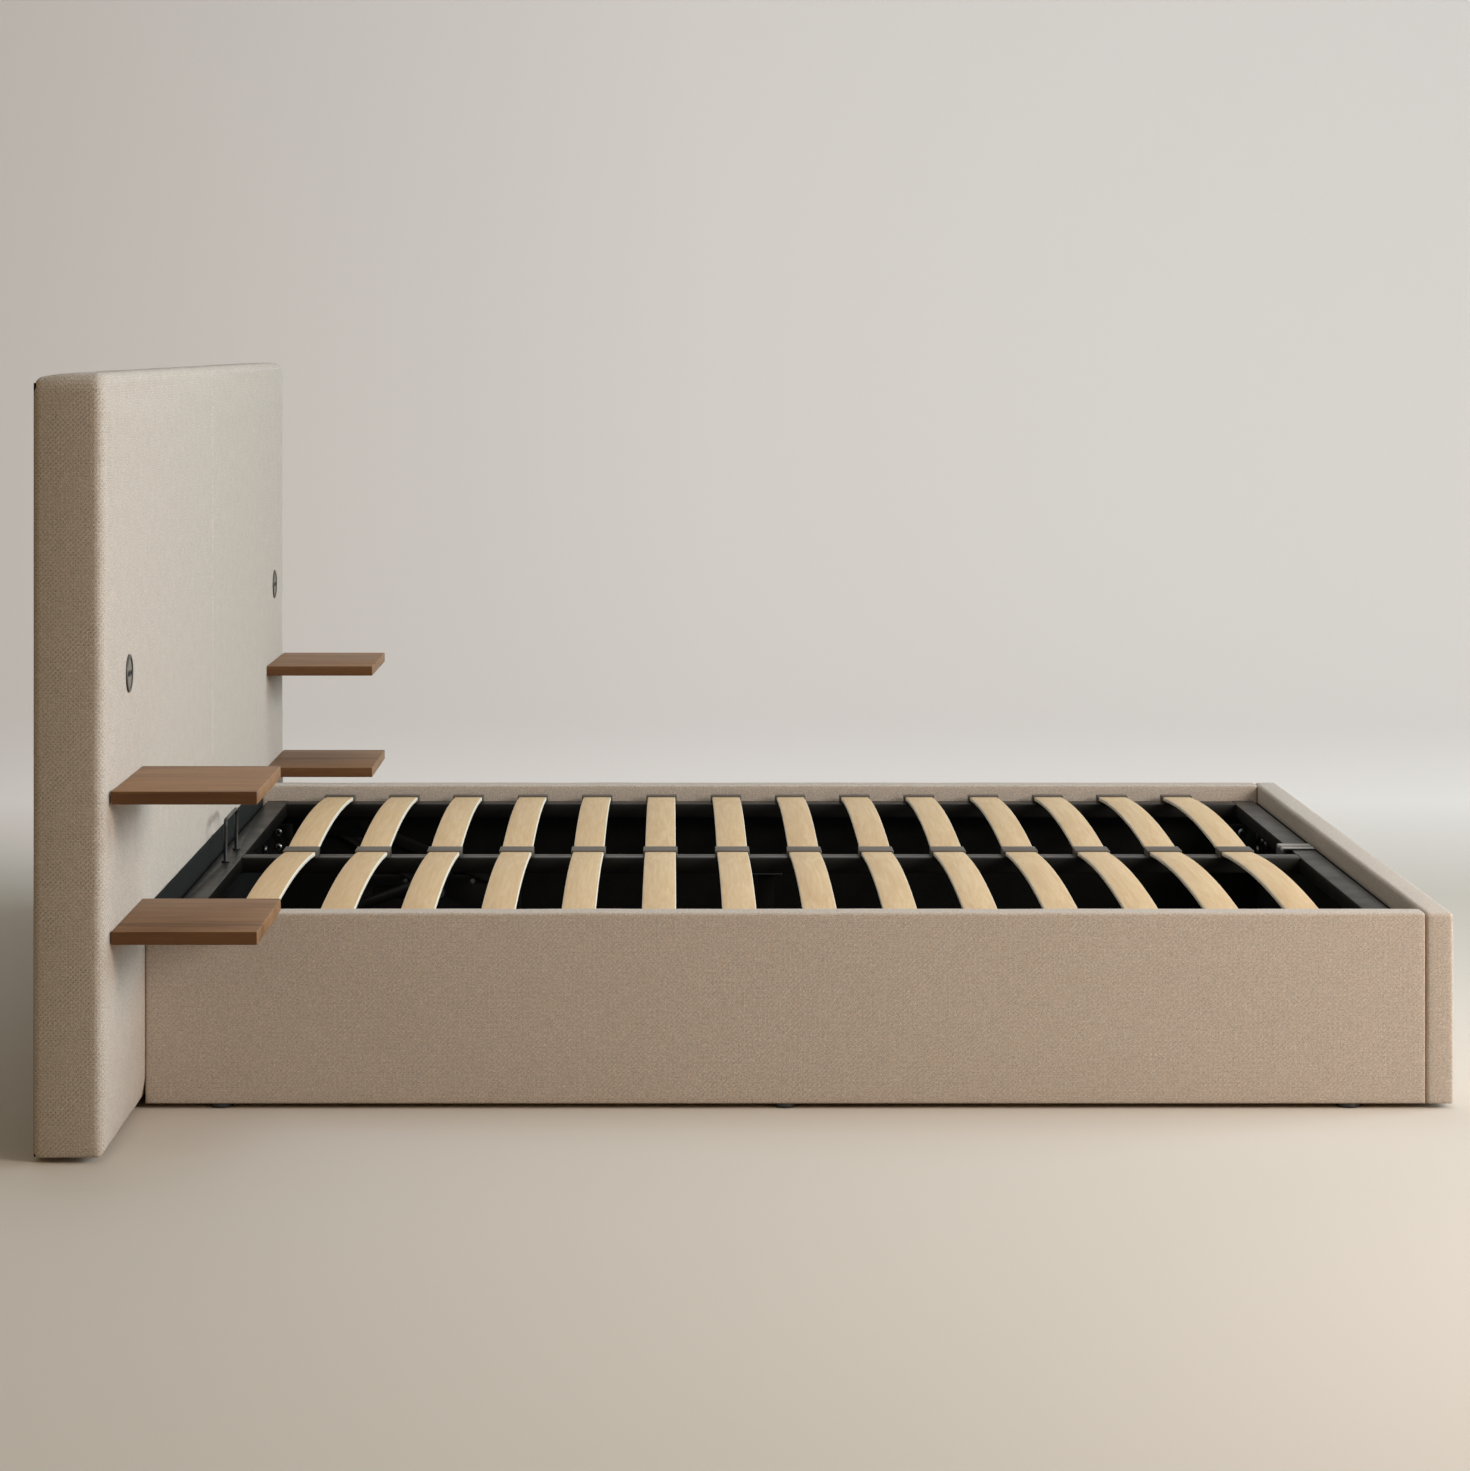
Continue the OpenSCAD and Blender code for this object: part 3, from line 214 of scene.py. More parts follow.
class Finish(Nodes):
    """A material in the making, around one surface shader."""

    def __init__(self, name, roughness, metallic=0.0, specular=0.5):
        self.material = bpy.data.materials.new(name)
        self.material.use_nodes = True
        super().__init__(self.material.node_tree)
        self.surface = self.tree.nodes["Principled BSDF"]
        self.give({"Roughness": roughness, "Metallic": metallic, "Specular IOR Level": specular})

    def give(self, values):
        """Sets or links inputs of the surface and returns the material."""
        for socket, value in values.items():
            self.put(self.surface.inputs[socket], value)
        return self.material

    def place(self, scale=(1, 1, 1), source="Object", turn=(0, 0, 0)):
        where = self.node("TexCoord").outputs[source]
        return self.node("Mapping", {"Vector": where, "Scale": scale, "Rotation": turn}).outputs[0]

    def noise(self, place, scale=1.0, detail=2.0, roughness=0.5, distortion=0.0):
        """Noise at a place, or on the object stretched by three scales."""
        where = self.place(place) if isinstance(place, tuple) else place
        inputs = {"Vector": where, "Scale": scale, "Detail": detail, "Roughness": roughness}
        return self.node("TexNoise", {**inputs, "Distortion": distortion}).outputs[0]

    def bands(self, place, period, direction, distortion=0.0, detail=2.0):
        """Stripes that repeat after a period in metres."""
        inputs = {"Vector": place, "Scale": math.pi / 10 / period, "Distortion": distortion, "Detail": detail}
        made = self.node("TexWave", inputs, wave_type="BANDS", bands_direction=direction)
        return made.outputs["Fac"]

    def attribute(self, name):
        return self.node("Attribute", attribute_name=name).outputs["Fac"]

    def layers(self, tone, base, *layers):
        """Covers a tone with colours, or shades of the base, up to a share as a value goes low to high."""
        for value, low, high, share, colour in layers:
            over = shade(base, colour) if isinstance(colour, float) else colour
            tone = self.mix(self.between(value, low, high, 0.0, share), tone, over)
        return tone

    def bump(self, height, distance, strength=1.0, below=None):
        inputs = {"Height": height, "Distance": distance, "Strength": strength}
        if below is not None:
            inputs["Normal"] = below
        return self.node("Bump", inputs).outputs[0]


def shade(colour, amount):
    """The same colour, darker below an amount of 1 and lighter above it."""
    return tuple(min(1.0, value * amount) for value in colour[:3])


def woven_fabric():
    """Basket weave: threads that pass over and under each other, with flecks, slubs and faint blotches.

    The pits between the threads and the grooves between the threads' ribs are darkened as painted shade. This
    painted shade in the pits closes where the attribute flat says that the cloth lies on a board.
    """
    look = settings("bed_upholstery")
    mat = Finish("basket_weave", 0.92, specular=0.2)
    fabric, per_thread = look.fabric, 1 / look.thread
    cloth = mat.place(source="UV")
    over = mat.node("TexChecker", {"Vector": cloth, "Scale": 0.5 * per_thread}).outputs["Fac"]
    ribs, flecks = [], []
    for direction, stretch in (("X", (1, 0.16, 1)), ("Y", (0.16, 1, 1))):
        ribs.append(mat.bands(cloth, look.thread, direction, 0.6, 1.0))
        flecks.append(mat.noise(mat.place(stretch, "UV"), 0.7 * per_thread, 2.0, 0.65))
    rib = mat.blend(over, *ribs)
    fleck = mat.blend(over, *flecks)
    rows = []
    for turn in (math.pi / 4, -math.pi / 4):
        slanted = mat.place(source="UV", turn=(0, 0, turn))
        row = mat.bands(slanted, PIT_PERIOD * look.thread, "X", 0.8, 1.0)
        rows.append(mat.between(row, 0.0, 0.8, 1.0, 0.0))
    open_share = mat.between(mat.attribute("flat"), 0.0, 1.0, 1.0, FLAT_PITS)
    pits = mat.times(mat.times(*rows), open_share)
    patches = mat.between(mat.noise(cloth, 34.0, 2.0, 0.6), 0.4, 0.62, 0.3, 0.75)
    blotch = mat.noise(cloth, 22.0, 3.0, 0.6)
    warm = mat.noise(cloth, 55.0, 2.0, 0.55)
    slubs = mat.noise(cloth, 0.42 * per_thread, 3.0, 0.75)
    specks = mat.noise(cloth, 0.85 * per_thread, 1.5, 0.6)
    tone = mat.mix(mat.between(fleck, 0.3, 0.7), shade(fabric, 0.8), shade(fabric, 1.18))
    # Painted shade: the grooves between the threads' ribs are darkened.
    tone = mat.mix(mat.between(rib, 0.0, 0.5, 0.45, 0.0), tone, shade(fabric, 0.5))
    warmer = (fabric[0], fabric[1] * 0.86, fabric[2] * 0.72)
    tone = mat.layers(tone, fabric, (warm, 0.35, 0.65, 0.16, warmer), (blotch, 0.3, 0.7, 0.14, 0.7))
    # Painted shade: the pits between the threads are darkened, in random patches.
    tone = mat.mix(mat.times(pits, patches), tone, shade(fabric, 0.36))
    tone = mat.layers(
        tone, fabric,
        (slubs, 0.5, 0.7, 0.3, 0.5), (slubs, 0.46, 0.3, 0.26, 1.3),
        (specks, 0.53, 0.72, 0.5, 0.42), (specks, 0.45, 0.28, 0.4, 1.35),
    )
    height = mat.math("ADD", mat.times(rib, 0.7), mat.times(over, 0.3))
    fuzz = mat.bump(mat.noise(cloth, 900.0, 2.0, 0.7), 0.0004, 0.35, mat.bump(height, 0.0007, 0.55))
    return mat.give({"Base Color": tone, "Normal": fuzz, "Sheen Weight": 0.12, "Sheen Roughness": 0.5})


def felted_lining(name, colour):
    """Thin non-woven cloth: matted fibres with small pressed points."""
    mat = Finish(name, 0.95, specular=0.15)
    place = mat.place()
    fibres = mat.noise(place, 420.0, 4.0, 0.75)
    clouds = mat.noise(place, 16.0, 3.0)
    points = mat.node("TexVoronoi", {"Vector": place, "Scale": 330.0}).outputs["Distance"]
    tone = mat.mix(mat.between(fibres, 0.3, 0.7), shade(colour, 0.6), shade(colour, 1.5))
    return mat.give({
        "Base Color": mat.layers(tone, colour, (clouds, 0.35, 0.65, 0.4, 0.7)),
        "Normal": mat.bump(points, 0.0003, 0.4, mat.bump(fibres, 0.0003, 0.5)),
    })


def walnut():
    """Walnut with grain along the shelf's depth, dark growth lines, fine pores and long edges darkened as
    painted shade.
    """
    look = settings("bed_wood")
    mat = Finish("walnut", 0.5, specular=0.3)
    bend = mat.noise((2.0, 9.0, 9.0))
    rings = mat.noise((2.2, 30.0, 44.0), 1.0, 4.0, 0.6, 0.8)
    streak = mat.noise((9.0, 260.0, 260.0), 1.0, 3.0, 0.65)
    pores = mat.noise((60.0, 900.0, 900.0), 1.0, 1.0)
    # Painted shade: faces that point along Y are darkened by how they face.
    facing = mat.node("SeparateXYZ", {0: mat.node("TexCoord").outputs["Normal"]}).outputs
    along = mat.math("ABSOLUTE", facing[1])
    tone = mat.layers(
        look.walnut, look.walnut_dark,
        (rings, 0.42, 0.72, 0.85, 1.0), (streak, 0.35, 0.75, 0.45, 0.9),
        (bend, 0.35, 0.7, 0.5, shade(look.walnut, 1.2)),
        (pores, 0.62, 0.75, 0.55, 0.55), (along, 0.5, 0.9, 0.62, 0.8),
    )
    return mat.give({
        "Base Color": tone,
        "Roughness": mat.between(streak, 0.3, 0.8, 0.42, 0.58),
        "Normal": mat.bump(mat.math("ADD", streak, pores), 0.0002, 0.35),
    })


def beech_veneer():
    """Sprung beech: pale with fine grain along the slat, short dark flecks and its own tint for each slat."""
    look = settings("bed_wood")
    dark = look.beech_dark
    mat = Finish("beech_veneer", 0.48)
    grain = mat.noise((210.0, 5.0, 320.0), 1.0, 3.0, 0.6, 0.3)
    figure = mat.noise((26.0, 2.0, 60.0), 1.0, 3.0, 0.55, 1.2)
    flecks = mat.noise((520.0, 130.0, 520.0), 1.0, 1.0)
    plies = mat.bands(mat.place(), PLY_THICKNESS, "Z")
    tone = mat.layers(
        look.beech, dark,
        (grain, 0.35, 0.7, 0.6, 1.0), (figure, 0.45, 0.7, 0.5, 0.94), (flecks, 0.66, 0.76, 0.35, 0.62),
    )
    tone = mat.mix(mat.times(mat.attribute("tint"), 0.16), tone, shade(dark, 0.85))
    # Side faces of the slats turn paler: partly the planed edges' own colour, partly painted highlight.
    tone = mat.mix(mat.times(mat.attribute("cut"), 0.85), tone, look.beech_cut_and_highlight)
    return mat.give({
        "Base Color": tone,
        "Roughness": mat.between(grain, 0.3, 0.7, 0.4, 0.54),
        "Normal": mat.bump(grain, 0.0002, 0.3, mat.bump(plies, 0.0001, 0.15)),
    })


def plain_timber():
    """Planed softwood and plywood of the hidden frames."""
    mat = Finish("plain_timber", 0.7)
    rings = mat.noise((4.0, 4.0, 60.0), 1.0, 4.0, 0.6, 1.0)
    fibres = mat.noise((30.0, 30.0, 500.0))
    tone = mat.mix(mat.between(rings, 0.35, 0.7), paint(206, 178, 136), paint(176, 140, 96))
    tone = mat.layers(tone, tone, (fibres, 0.4, 0.8, 0.35, paint(150, 112, 74)))
    return mat.give({"Base Color": tone, "Normal": mat.bump(fibres, 0.0003, 0.4)})


def powder_coat(name, colour, roughness):
    """Painted steel: a fine orange peel, faint cloudiness and slightly rubbed spots."""
    mat = Finish(name, roughness, specular=0.24)
    place = mat.place()
    clouds = mat.noise(place, 14.0, 3.0, 0.6)
    specks = mat.noise(place, 1900.0, 0.0)
    tone = mat.mix(mat.between(clouds, 0.3, 0.7, 0.0, 0.5), shade(colour, 1.06), shade(colour, 0.88))
    return mat.give({
        "Base Color": mat.layers(tone, colour, (specks, 0.66, 0.78, 0.3, 1.5)),
        "Roughness": mat.between(clouds, 0.3, 0.7, roughness - 0.06, roughness + 0.08),
        "Normal": mat.bump(mat.noise(place, 900.0), 0.0001, 0.35),
        "Coat Weight": 0.1,
        "Coat Roughness": 0.3,
    })


def zinc_plate(name, colour, roughness):
    """Bright plated steel with faint rolling marks and a cloudy film."""
    mat = Finish(name, roughness, 1.0)
    film = mat.noise(mat.place(), 60.0, 3.0, 0.6)
    return mat.give({
        "Base Color": mat.mix(mat.between(film, 0.3, 0.7), shade(colour, 0.84), shade(colour, 1.04)),
        "Roughness": mat.between(film, 0.3, 0.7, roughness - 0.05, roughness + 0.1),
        "Normal": mat.bump(mat.noise((40.0, 700.0, 700.0)), 0.0001, 0.2),
    })


def moulded_plastic(name, colour, roughness):
    """Moulded plastic with a fine spark-eroded grain and faint flow marks."""
    mat = Finish(name, roughness)
    grain = mat.noise(mat.place(), 1500.0, 2.0, 0.6)
    flow = mat.noise((1, 1, 3), 30.0)
    return mat.give({
        "Base Color": mat.mix(mat.between(flow, 0.3, 0.7), shade(colour, 0.92), shade(colour, 1.07)),
        "Roughness": mat.between(grain, 0.3, 0.7, roughness - 0.05, roughness + 0.07),
        "Normal": mat.bump(grain, 0.0001, 0.3),
    })


def ribbed_webbing():
    """Black webbing with two light grey stripes, kept to its top as painted light: fine ribs across the
    strap.
    """
    mat = Finish("ribbed_webbing", 0.85)
    low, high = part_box("pull_strap")
    _, across, up = mat.node("SeparateXYZ", {0: mat.place()}).outputs
    away = mat.math("ABSOLUTE", mat.math("SUBTRACT", across, (low.y + high.y) / 2))
    top_lit_stripe = mat.times(mat.between(away, 0.0045, 0.006), mat.between(away, 0.0315, 0.030))
    # Painted light: the stripes show only near the strap's top, so the lower part stays dark like a shaded
    # side.
    top_lit_stripe = mat.times(top_lit_stripe, mat.between(up, high.z - 0.006, high.z - 0.004))
    ribs = mat.bands(mat.place(source="UV"), 0.0018, "X", 0.3)
    rows = mat.bands(mat.place(source="UV"), 0.0042, "Y", 0.2)
    weave = mat.times(ribs, mat.between(rows, 0.0, 1.0, 0.6, 1.0))
    light = mat.mix(weave, paint(150, 147, 141), paint(206, 203, 196))
    dark = mat.mix(weave, paint(14, 14, 13), paint(36, 36, 34))
    tone = mat.mix(top_lit_stripe, dark, light)
    return mat.give({"Base Color": tone, "Normal": mat.bump(weave, 0.0005, 0.5), "Sheen Weight": 0.1})


@functools.cache
def finish_for(slot):
    """The material of one of the record's slots, made once."""
    metal = settings("bed_metal")
    plastic = settings("bed_plastic")
    lining = settings("bed_upholstery").lining
    makers = {
        "upholstery": (woven_fabric,),
        "shelf_wood": (walnut,),
        "beech": (beech_veneer,),
        "timber": (plain_timber,),
        "strap": (ribbed_webbing,),
        "lining": (felted_lining, "black_lining", lining),
        "dark_board": (felted_lining, "covered_board", shade(lining, 1.15)),
        "frame_steel": (powder_coat, "grey_frame_coat", metal.frame_paint, 0.38),
        "fitting_steel": (powder_coat, "grey_fitting_coat", metal.fitting_paint, 0.45),
        "black_steel": (powder_coat, "black_coat", metal.black_paint, 0.36),
        "zinc": (zinc_plate, "zinc_plate", metal.zinc, 0.28),
        "holder_plastic": (moulded_plastic, "holder_plastic", plastic.holder, 0.5),
        "black_plastic": (moulded_plastic, "black_plastic", plastic.black, 0.5),
        "bezel": (moulded_plastic, "bezel_plastic", plastic.bezel, 0.35),
        "socket_face": (moulded_plastic, "socket_plastic", plastic.face, 0.42),
    }
    maker, *values = makers[slot]
    return maker(*values)


# Mesh building


def slot_of(node):
    return next(part["material_slot"] for part in frame["record"]["subparts"] if part["node"] == node)


def body_of(node):
    return next(body for body, nodes in frame["record"]["behaviour"]["bodies"].items() if node in nodes)


def shift(bm, by, verts=None):
    bmesh.ops.translate(bm, vec=by, verts=verts or bm.verts)


def outwards(bm):
    bmesh.ops.recalc_face_normals(bm, faces=bm.faces)


def quarter_turn(bm, axis):
    bmesh.ops.rotate(bm, cent=(0, 0, 0), matrix=Matrix.Rotation(math.pi / 2, 3, axis), verts=bm.verts)


def mesh_of(name, bm):
    mesh = bpy.data.meshes.new(name)
    bm.to_mesh(mesh)
    bm.free()
    return mesh


def in_scene(name, data):
    item = bpy.data.objects.new(name, data)
    bpy.context.scene.collection.objects.link(item)
    return item


def run_of(low, high):
    """The level axis along which a box is longer, and the other one."""
    along = 0 if high.x - low.x > high.y - low.y else 1
    return along, 1 - along


def solid_copy(node):
    """A CAD node's mesh with shared points and without lines across its flat faces."""
    bm = bmesh.new()
    bm.from_mesh(frame["nodes"][node].data)
    bmesh.ops.remove_doubles(bm, verts=bm.verts, dist=2e-5)
    bmesh.ops.dissolve_limit(bm, angle_limit=LINE_LIMIT, verts=bm.verts, edges=bm.edges)
    return bm


def flat_map(bm):
    """Lays a map in metres over the faces, each seen along its own main direction."""
    layer = bm.loops.layers.uv.new("weave")
    bm.normal_update()
    for face in bm.faces:
        x, y, z = (abs(value) for value in face.normal)
        across, up = (1, 2) if x >= max(y, z) else (0, 2) if y >= z else (0, 1)
        for loop in face.loops:
            loop[layer].uv = (loop.vert.co[across], loop.vert.co[up])


def finished(name, bm, slot, body, nodes=(), smooth=35.0, mapped=False):
    """Turns a bmesh into a piece with its finish, riding on its body."""
    if mapped:
        flat_map(bm)
    mesh = mesh_of(name, bm)
    mesh.shade_smooth()
    mesh.set_sharp_from_angle(angle=math.radians(smooth))
    mesh.materials.append(finish_for(slot))
    piece = in_scene(name, mesh)
    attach(piece, body)
    if nodes:
        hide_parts(*nodes)
    return piece


def block(low, high):
    """A box between two corners."""
    bm = bmesh.new()
    bmesh.ops.create_cube(bm, size=1.0)
    low, high = Vector(low), Vector(high)
    bmesh.ops.scale(bm, vec=high - low, verts=bm.verts)
    shift(bm, (low + high) / 2)
    return bm


def round_edges(bm, edges, radius, steps, clamp=True):
    bmesh.ops.bevel(
        bm, geom=list(edges), offset=radius, offset_type="OFFSET", segments=steps,
        profile=0.5, affect="EDGES", material=-1, clamp_overlap=clamp,
    )


def edges_at(bm, axis, place):
    """The edges that lie in a plane square to an axis."""
    return [edge for edge in bm.edges if all(abs(vert.co[axis] - place) < NEAR for vert in edge.verts)]


def slice_along(bm, axis, places):
    """Cuts the mesh square to an axis at each place, so that it can bend there."""
    normal = Vector((axis == 0, axis == 1, axis == 2))
    for place in places:
        bmesh.ops.bisect_plane(
            bm, geom=bm.verts[:] + bm.edges[:] + bm.faces[:], dist=1e-6,
            plane_co=normal * place, plane_no=normal,
        )


def steps_between(low, high, spacing):
    count = max(1, round((high - low) / spacing))
    return [low + (high - low) * i / count for i in range(1, count)]


def fall_off(distance, width):
    """1 at a distance of 0, falling smoothly to 0 at the width."""
    share = min(1.0, max(0.0, distance / width))
    return (1 - share) ** 2 * (1 + 2 * share)


def eased_copies(nodes, radius, steps=2):
    """Copies of CAD nodes whose sharp edges are eased, which then stand for the nodes."""
    limit = math.radians(40.0)
    for node in nodes:
        bm = solid_copy(node)
        edges = [edge for edge in bm.edges if edge.is_manifold and edge.calc_face_angle() > limit]
        round_edges(bm, edges, radius, steps, clamp=False)
        finished(node + "_eased", bm, slot_of(node), body_of(node), [node])


def painted(*nodes):
    """Gives CAD nodes that stay as they are the finish of their slot."""
    for node in nodes:
        mesh = frame["nodes"][node].data
        mesh.materials.clear()
        mesh.materials.append(finish_for(slot_of(node)))


# Upholstery


def swell(piece, held, ease, cap, pressure=4.0, frames=18):
    """Lets a stuffed cover swell against its own cloth.

    Held points stay, and the others move by at most the cap, less where ease gives a share below 1.
    """
    verts = piece.data.vertices
    piece.vertex_groups.new(name="held").add([v.index for v in verts if held(v.co)], 1.0, "REPLACE")
    cloth = piece.modifiers.new("cloth", "CLOTH")
    cloth.settings.vertex_group_mass = "held"
    cloth.settings.use_pressure = True
    cloth.settings.uniform_pressure_force = pressure
    cloth.settings.effector_weights.gravity = 0
    cloth.settings.tension_stiffness = cloth.settings.compression_stiffness = 25
    cloth.settings.bending_stiffness = 2
    cloth.collision_settings.use_collision = False
    scene = bpy.context.scene
    for number in range(1, frames + 1):
        scene.frame_set(number)
    shaped = piece.evaluated_get(bpy.context.evaluated_depsgraph_get()).data
    places = [vert.co.copy() for vert in shaped.vertices]
    piece.modifiers.remove(cloth)
    piece.vertex_groups.clear()
    scene.frame_set(1)
    if len(places) != len(verts):
        raise RuntimeError("the cloth changed the number of points")
    for vert, place in zip(verts, places):
        move = place - vert.co
        vert.co += move * min(1.0, cap / max(move.length, 1e-9)) * ease(vert.co)
    piece.data.update()


def ripple(*place):
    return noise.noise(Vector(place))


def subdivided(piece):
    smooth = piece.modifiers.new("smooth", "SUBSURF")
    smooth.levels = smooth.render_levels = 1


def headboard_cover():
    """The padded headboard: soft rim, drawn-in sides, a seam down the middle and puckers along its rim."""
    look = settings("bed_upholstery")
    low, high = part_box("headboard_pad")
    bm = block(low, high)
    across = (high.y - low.y) / 2
    level = edges_at(bm, 2, high.z)
    upper = [edge for edge in level if abs(edge.verts[0].co.x - edge.verts[1].co.x) > NEAR]
    round_edges(bm, upper, look.pad_corner, 6)
    round_edges(bm, edges_at(bm, 0, high.x), look.pad_rim, 7)
    round_edges(bm, edges_at(bm, 0, low.x), look.pad_back, 5)
    slice_along(bm, 1, steps_between(low.y, high.y, 0.015))
    slice_along(bm, 1, [-0.012, -0.007, -0.003, 0.0, 0.003, 0.007, 0.012])
    for step in (0.003, 0.006, 0.010):
        slice_along(bm, 1, [low.y + step, high.y - step])
        slice_along(bm, 2, [low.z + step])
    slice_along(bm, 2, steps_between(low.z, high.z, 0.02))
    slice_along(bm, 0, steps_between(low.x, high.x - look.pad_rim, 0.012))
    for vert in bm.verts:
        place = vert.co.copy()
        depth = (high.x - place.x) / (high.x - low.x)
        front = fall_off(high.x - place.x, 0.05)
        to_rim = min(across - abs(place.y), high.z - place.z, place.z - low.z)
        if place.x < low.x + NEAR:
            vert.co.x += BACK_SUNK
        vert.co.x -= front * look.pad_crown * fall_off(max(0.0, to_rim - look.pad_rim), 0.13)
        pull = look.pad_pull * depth * depth * fall_off(across - abs(place.y), 0.03)
        vert.co.y -= math.copysign(pull, place.y)
        vert.co.z -= look.pad_slump * depth ** 4 * fall_off(high.z - place.z, 0.05)
        seam = math.exp(-(place.y / 0.0048) ** 2)
        vert.co.x -= look.seam_depth * seam * front
        vert.co.z -= look.seam_depth * 0.8 * seam * fall_off(high.z - place.z, 0.04) * (1 - front * 0.4)
        rim = fall_off(abs(to_rim - 0.012), 0.095)
        wave = ripple(place.y * 17, place.z * 17, 3.7)
        fine = ripple(place.y * 41, place.z * 41, 8.1)
        vert.co.x += look.pucker * rim * front * (0.7 * wave + 0.4 * fine - 0.35)
        vert.co.z += look.pucker * 0.8 * fall_off(high.z - place.z, 0.03) * (wave - 0.3)
        vert.co.x += 0.0012 * ripple(place.y * 3.1, place.z * 3.1, 1.3) * front * (1 - rim)
        centre = Vector((math.copysign(across - look.pad_low, place.y), low.z + look.pad_low))
        out = Vector((vert.co.y, vert.co.z)) - centre
        if out.x * place.y > 0 > out.y and out.length > look.pad_low:
            vert.co.yz = centre + out.normalized() * look.pad_low
    piece = finished("headboard_cover", bm, "upholstery", "base", ["headboard_pad"], 60.0, mapped=True)
    behind = high.x - look.pad_rim - look.pad_crown

    def held(p):
        return p.x < behind or p.z < low.z + 0.012 or abs(p.y) < 0.004

    def ease(p):
        inwards = min(across - abs(p.y), high.z - p.z)
        return 1 - fall_off(inwards, 0.07)

    swell(piece, held, ease, look.swell)
    for vert in piece.data.vertices:
        vert.co.x = min(vert.co.x, high.x)
    subdivided(piece)


def panel_cover(name, node):
    """A thinly padded panel: round top edges, small turned edges elsewhere and a slightly uneven surface."""
    look = settings("bed_upholstery")
    low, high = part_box(node)
    bm = block(low, high)
    along, across = run_of(low, high)
    ends = [edge for edge in bm.edges if abs(edge.verts[0].co.z - edge.verts[1].co.z) > NEAR]
    round_edges(bm, ends, 0.0045 if along == 0 else 0.007, 4)
    round_edges(bm, edges_at(bm, 2, high.z), look.rail_edge, 5)
    round_edges(bm, edges_at(bm, 2, low.z), 0.003, 2)
    slice_along(bm, along, steps_between(low[along], high[along], 0.03))
    slice_along(bm, 2, steps_between(low.z, high.z - look.rail_edge, 0.04))
    middle = (low[across] + high[across]) / 2
    flat = bm.verts.layers.float.new("flat")
    for vert in bm.verts:
        vert[flat] = 1.0
        place = vert.co.copy()
        side = 1.0 if place[across] > middle else -1.0
        top = fall_off(high.z - place.z, 0.05)
        wave = ripple(place[along] * 5, place.z * 7, 11.0 + side)
        fine = ripple(place[along] * 26, place.z * 9, 4.0 + side)
        vert.co[across] += side * (0.0007 * wave + 0.0004 * fine * (0.3 + top) - 0.0006)
        vert.co.z += top * 0.0007 * (ripple(place[along] * 9, 2.0, 6.0) - 0.4)
    piece = finished(name, bm, "upholstery", "base", [node], 60.0, mapped=True)
    subdivided(piece)


def lining_cloth(name, node):
    """The lining: a stretched cloth with a faint ripple that fades out at its top and bottom."""
    low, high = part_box(node)
    along, across = run_of(low, high)
    length = high[along] - low[along]
    height = high.z - low.z
    bm = bmesh.new()
    bmesh.ops.create_grid(bm, x_segments=90, y_segments=16, size=0.5)
    bmesh.ops.scale(bm, vec=(length, height, 1), verts=bm.verts)
    quarter_turn(bm, "X")
    if along == 1:
        quarter_turn(bm, "Z")
    shift(bm, (low + high) / 2)
    for vert in bm.verts:
        place = vert.co.copy()
        edge = 1 - fall_off(min(high.z - place.z, place.z - low.z), 0.06)
        vert.co[across] += 0.0003 * edge * ripple(place[along] * 8, place.z * 12, 5.0)
    piece = finished(name, bm, "lining", "base", [node], 80.0, mapped=True)
    thick = piece.modifiers.new("cloth", "SOLIDIFY")
    thick.thickness = 0.0008
    thick.offset = 0


# Sockets


def turned(profile, centre):
    """A ring turned about the X axis from a closed profile of (radius, x) points."""
    bm = bmesh.new()
    verts = [bm.verts.new((x, 0, radius)) for radius, x in profile]
    edges = [bm.edges.new(pair) for pair in zip(verts, verts[1:] + verts[:1])]
    bmesh.ops.spin(
        bm, geom=verts + edges, cent=(0, 0, 0), axis=(1, 0, 0), angle=math.tau, steps=72, use_merge=True,
    )
    bmesh.ops.remove_doubles(bm, verts=bm.verts, dist=1e-6)
    outwards(bm)
    shift(bm, centre)
    return bm


def socket_insert(side):
    """The dark insert that surrounds the two ports of a socket: a thin plate with rounded corners."""
    low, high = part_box("socket_face_" + side)
    middle = (low + high) / 2
    ports = [middle.y - 0.0085, middle.y + 0.0085]
    port_w, port_h = 0.013, 0.0056
    half_w, half_h = 0.0185, 0.0042
    bm = bmesh.new()
    bmesh.ops.create_grid(bm, x_segments=1, y_segments=1, size=1.0)
    quarter_turn(bm, "Y")
    bmesh.ops.scale(bm, vec=(1, half_w, half_h), verts=bm.verts)
    shift(bm, (high.x + 0.0003, middle.y, middle.z))
    slice_along(bm, 1, sorted(port + sign * port_w / 2 for port in ports for sign in (-1, 1)))
    slice_along(bm, 2, [middle.z - port_h / 2, middle.z + port_h / 2])
    centres = {face: face.calc_center_median() for face in bm.faces}
    gone = [
        face for face, at in centres.items()
        if abs(at.z - middle.z) < port_h / 2 and any(abs(at.y - port) < port_w / 2 for port in ports)
    ]
    bmesh.ops.delete(bm, geom=gone, context="FACES")
    outwards(bm)
    corners = [
        vert for vert in bm.verts
        if abs(abs(vert.co.y - middle.y) - half_w) < 1e-5 and abs(abs(vert.co.z - middle.z) - half_h) < 1e-5
    ]
    bmesh.ops.bevel(bm, geom=corners, offset=0.003, segments=4, profile=0.5, affect="VERTICES", material=-1)
    bmesh.ops.solidify(bm, geom=bm.faces[:], thickness=0.0009)
    outwards(bm)
    finished("socket_insert_" + side, bm, "black_plastic", "base", (), 30.0)


